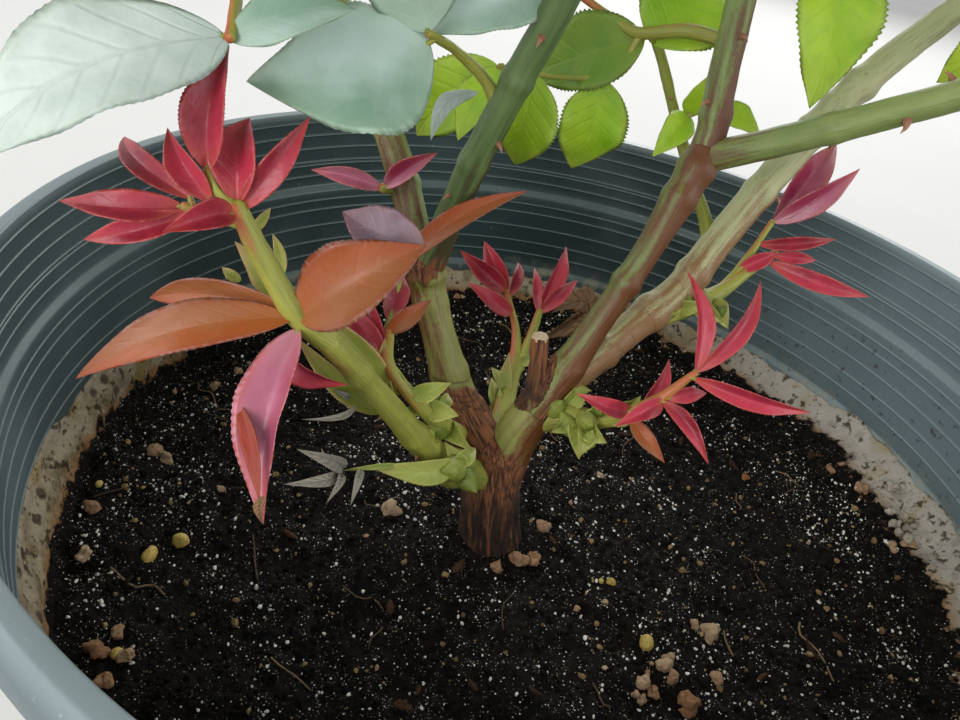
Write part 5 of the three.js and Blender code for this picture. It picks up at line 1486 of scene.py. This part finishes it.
class Mass:
    """Grows one mass: wood holds its limbs, and leaves its kept leaflets with the age of their spray."""

    def __init__(self, name, index):
        self.space = space(name)
        self.draw = numbers(101 + 37 * index)
        self.wood, self.leaves = [], []
        self.middles = np.zeros((0, 3))
        carrier, centre = MASSES[name]
        points, radii = CANES[carrier]["points"], CANES[carrier]["radii"]
        tip, middle = np.array(points[-1], float), np.array(centre, float)
        onward, heading = unit(tip - np.array(points[-2])), middle - tip
        path = [tip - 3 * onward, tip + 0.3 * np.linalg.norm(heading) * onward, middle,
                middle + 30 * unit(heading) + 10 * UP]
        self.wood.append(limb(path, [0.95 * radii[-1], 1.5, 0.9], 10, 3.0, pale=0.2, brown=0.2, bark=0.0))
        stem, slope = self.sampled(path)
        for i in range(STEM_LEAVES):
            share = 0.22 + 0.78 * i / (STEM_LEAVES - 1)
            lean = 1.35 - share**2 + 0.2 * (self.draw() - 0.5)
            self.leaf(stem, slope, share, i * GOLDEN + index, lean)
        for k in range(STEM_TWIGS):
            self.twig(stem, slope, 0.2 + 0.1 * k, k * GOLDEN + 2 * index, self.draw(44, 58), 2)

    @staticmethod
    def sampled(path):
        """Evenly spaced places on the path, and the way it runs at each."""
        places, _ = smooth_path(path, STEM_STEPS + 1)
        return places, unit(np.gradient(places, axis=0))

    def twig(self, stem, slope, share, angle, reach, finer):
        """A twig that leaves a stem outwards and turns up along it, with leaves and as many finer twigs as
        finer says. It is shortened to fit, or left out."""
        k = int(share * STEM_STEPS)
        foot, axis = stem[k], slope[k]
        outward = outward_of(axis, angle)
        for length in (reach, 0.8 * reach, 0.6 * reach):
            path = [foot, foot + outward * 0.55 * length + axis * 0.2 * length,
                    foot + outward * 0.9 * length + axis * 0.55 * length]
            if inside(np.array(path), self.space).all():
                break
        else:
            return
        self.wood.append(limb(path, [0.6 + 0.35 * finer, 0.75], 7, 4.0, pale=0.1, brown=0.3, bark=0.0))
        places, slopes = self.sampled(path)
        for i, share in enumerate((0.45, 0.72, 1.0) if finer else (0.6, 1.0)):
            self.leaf(places, slopes, share, angle + 1 + i * GOLDEN, 1.1 - 0.85 * share)
        for i in range(finer):
            self.twig(places, slopes, 0.4 + 0.3 * i, angle + i * np.pi + 0.8, self.draw(20, 28), 0)

    def leaf(self, stem, slope, share, angle, lean):
        """A compound leaf: tried turned and then shorter until three leaflets have room, and left out if they
        never have."""
        k = int(share * STEM_STEPS)
        axis = slope[k]
        stretch = self.draw(0.9, 1.08)
        for length in STALKS:
            for more in TURNS:
                outward = outward_of(axis, angle + more)
                aim = axis * np.cos(lean) + outward * np.sin(lean)
                stalk, rows = compound(stem[k], aim, UP + 0.4 * axis + 0.25 * outward, length * stretch)
                ends = np.array([[base, tip, (base + tip) / 2] for base, tip, _, _ in rows])
                kept = inside(ends, self.space).all(-1)
                middles = ends[:, 2]
                if len(self.middles):
                    gap = np.linalg.norm(middles[:, None] - self.middles[None], axis=-1).min(1)
                    kept &= gap > LEAF_GAP
                if kept.sum() >= FEWEST and inside(np.array(stalk), self.space).all():
                    self.wood.append(limb(stalk, [1.0, 0.7, 0.5], 5, 9.0, pale=0.1, brown=0.15, bark=0.0))
                    self.leaves += [(*row, share) for row, good in zip(rows, kept) if good]
                    self.middles = np.vstack([self.middles, middles[kept]])
                    return


grown = [Mass(name, index) for index, name in enumerate(MASSES)]
twigs = Shape.joined([shape for mass in grown for shape in mass.wood])
piece("crown_twigs", twigs, green_look, list(MASSES))
CROWN_LOOKS = dict(
    deep=leaf_finish("crown_leaf", "2e5a2a", "4c7c3c", "5c8640", "88a47e", "84a65e", 0.36),
    fresh=leaf_finish("crown_fresh", "4a7c2e", "6e9c40", "86a648", "94b078", "a4c070", 0.36),
    young=leaf_finish("crown_young", "8c4630", "a8683c", "a83634", "a87c68", "c8906c", 0.34),
)
PER_PIECE = 1150  # leaflets, so that no piece is too large
rows = [row for mass in grown for row in mass.leaves]
five = np.arange(len(rows)) // len(LEAFLETS)
kind = lattice(np.stack([five, five, five], -1), 51)
age = np.array([row[4] for row in rows])
young = (age > 0.97) & (kind > 0.1)
fresh = ~young & (kind + age > 0.75)
for label, chosen in (("deep", ~young & ~fresh), ("fresh", fresh), ("young", young)):
    index = np.flatnonzero(chosen)
    for part, start in enumerate(range(0, len(index), PER_PIECE)):
        some = [rows[i] for i in index[start : start + PER_PIECE]]
        vary = chance.random((3, len(some)))
        base, tip, up, width, _ = (np.array(column) for column in zip(*some))
        leaves = dict(base=base, tip=tip, up=up, width=width, fold=0.12 + 0.3 * vary[0],
                      bow=0.02 + 0.06 * vary[1], curl=0.02 + 0.16 * vary[2], twist=0.8 * (vary[2] - 0.5),
                      sickle=0.08 * (vary[0] - 0.5), tint=chance.random(len(some)))
        shape = blades(leaves, 12, 5, 0.06, 0.5)
        piece(f"crown_leaves_{label}_{part + 1}", shape, CROWN_LOOKS[label], weld=0.01)

# The hanging pink leaf's folded half and its dry tip
shown_leaves("pink_leaf_fold", "scarlet", [(239, 404, 135, 258, 502, 129.3, 3.0, 0, -1, 0.6)])
shown_leaves("pink_leaf_tip", "brown", [(264, 496, 130, 260, 523, 128.5, 1.9, 0, -1, 0.6, 0.02)])

# Floor, air and light, in metres

FLOOR_REACH, FLOOR_LEVEL = 6, -0.0004
LOOKED_AT = np.array([0, 0, 0.25])
floor_finish = Finish("floor", roughness=0.8)
floor_shade = floor_finish.blend(floor_finish.cloud(3), "b2b1ae", "babab7")
corners = [(x * FLOOR_REACH, y * FLOOR_REACH, FLOOR_LEVEL) for x, y in ((-1, -1), (1, -1), (1, 1), (-1, 1))]
floor = bpy.data.meshes.new("floor")
floor.from_pydata(corners, [], [(0, 1, 2, 3)])
floor.materials.append(floor_finish.paint(floor_shade))
ground = bpy.data.objects.new("floor", floor)
bpy.context.scene.collection.objects.link(ground)

world = bpy.data.worlds.new("air")
world.use_nodes = True
background = world.node_tree.nodes["Background"].inputs
background["Color"].default_value = (0.93, 0.95, 0.97, 1)
background["Strength"].default_value = 0.9
bpy.context.scene.world = world


def soft_light(name, place, energy, size, warmth=(1, 1, 1)):
    """A square area light that looks at the middle of the plant."""
    light = bpy.data.lights.new(name, "AREA")
    light.energy, light.size, light.color = energy, size, warmth
    thing = bpy.data.objects.new(name, light)
    back = unit(np.array(place) - LOOKED_AT)
    side = unit(np.cross(UP, back))
    set_down(thing, side, np.cross(back, side), back, place)
    thing.visible_camera = False


soft_light("key", (-1.6, -2.6, 2.35), 58, 1.8, (1, 0.97, 0.93))
soft_light("right", (2.8, -1.0, 1.55), 34, 1.6)
soft_light("behind", (0.6, 2.8, 1.95), 68, 2.0)
soft_light("left", (-2.6, 0.2, 1.75), 34, 1.6)
soft_light("low_front", (-0.6, -1.6, 0.75), 11, 0.8)

bpy.context.scene.view_settings.view_transform = "Standard"
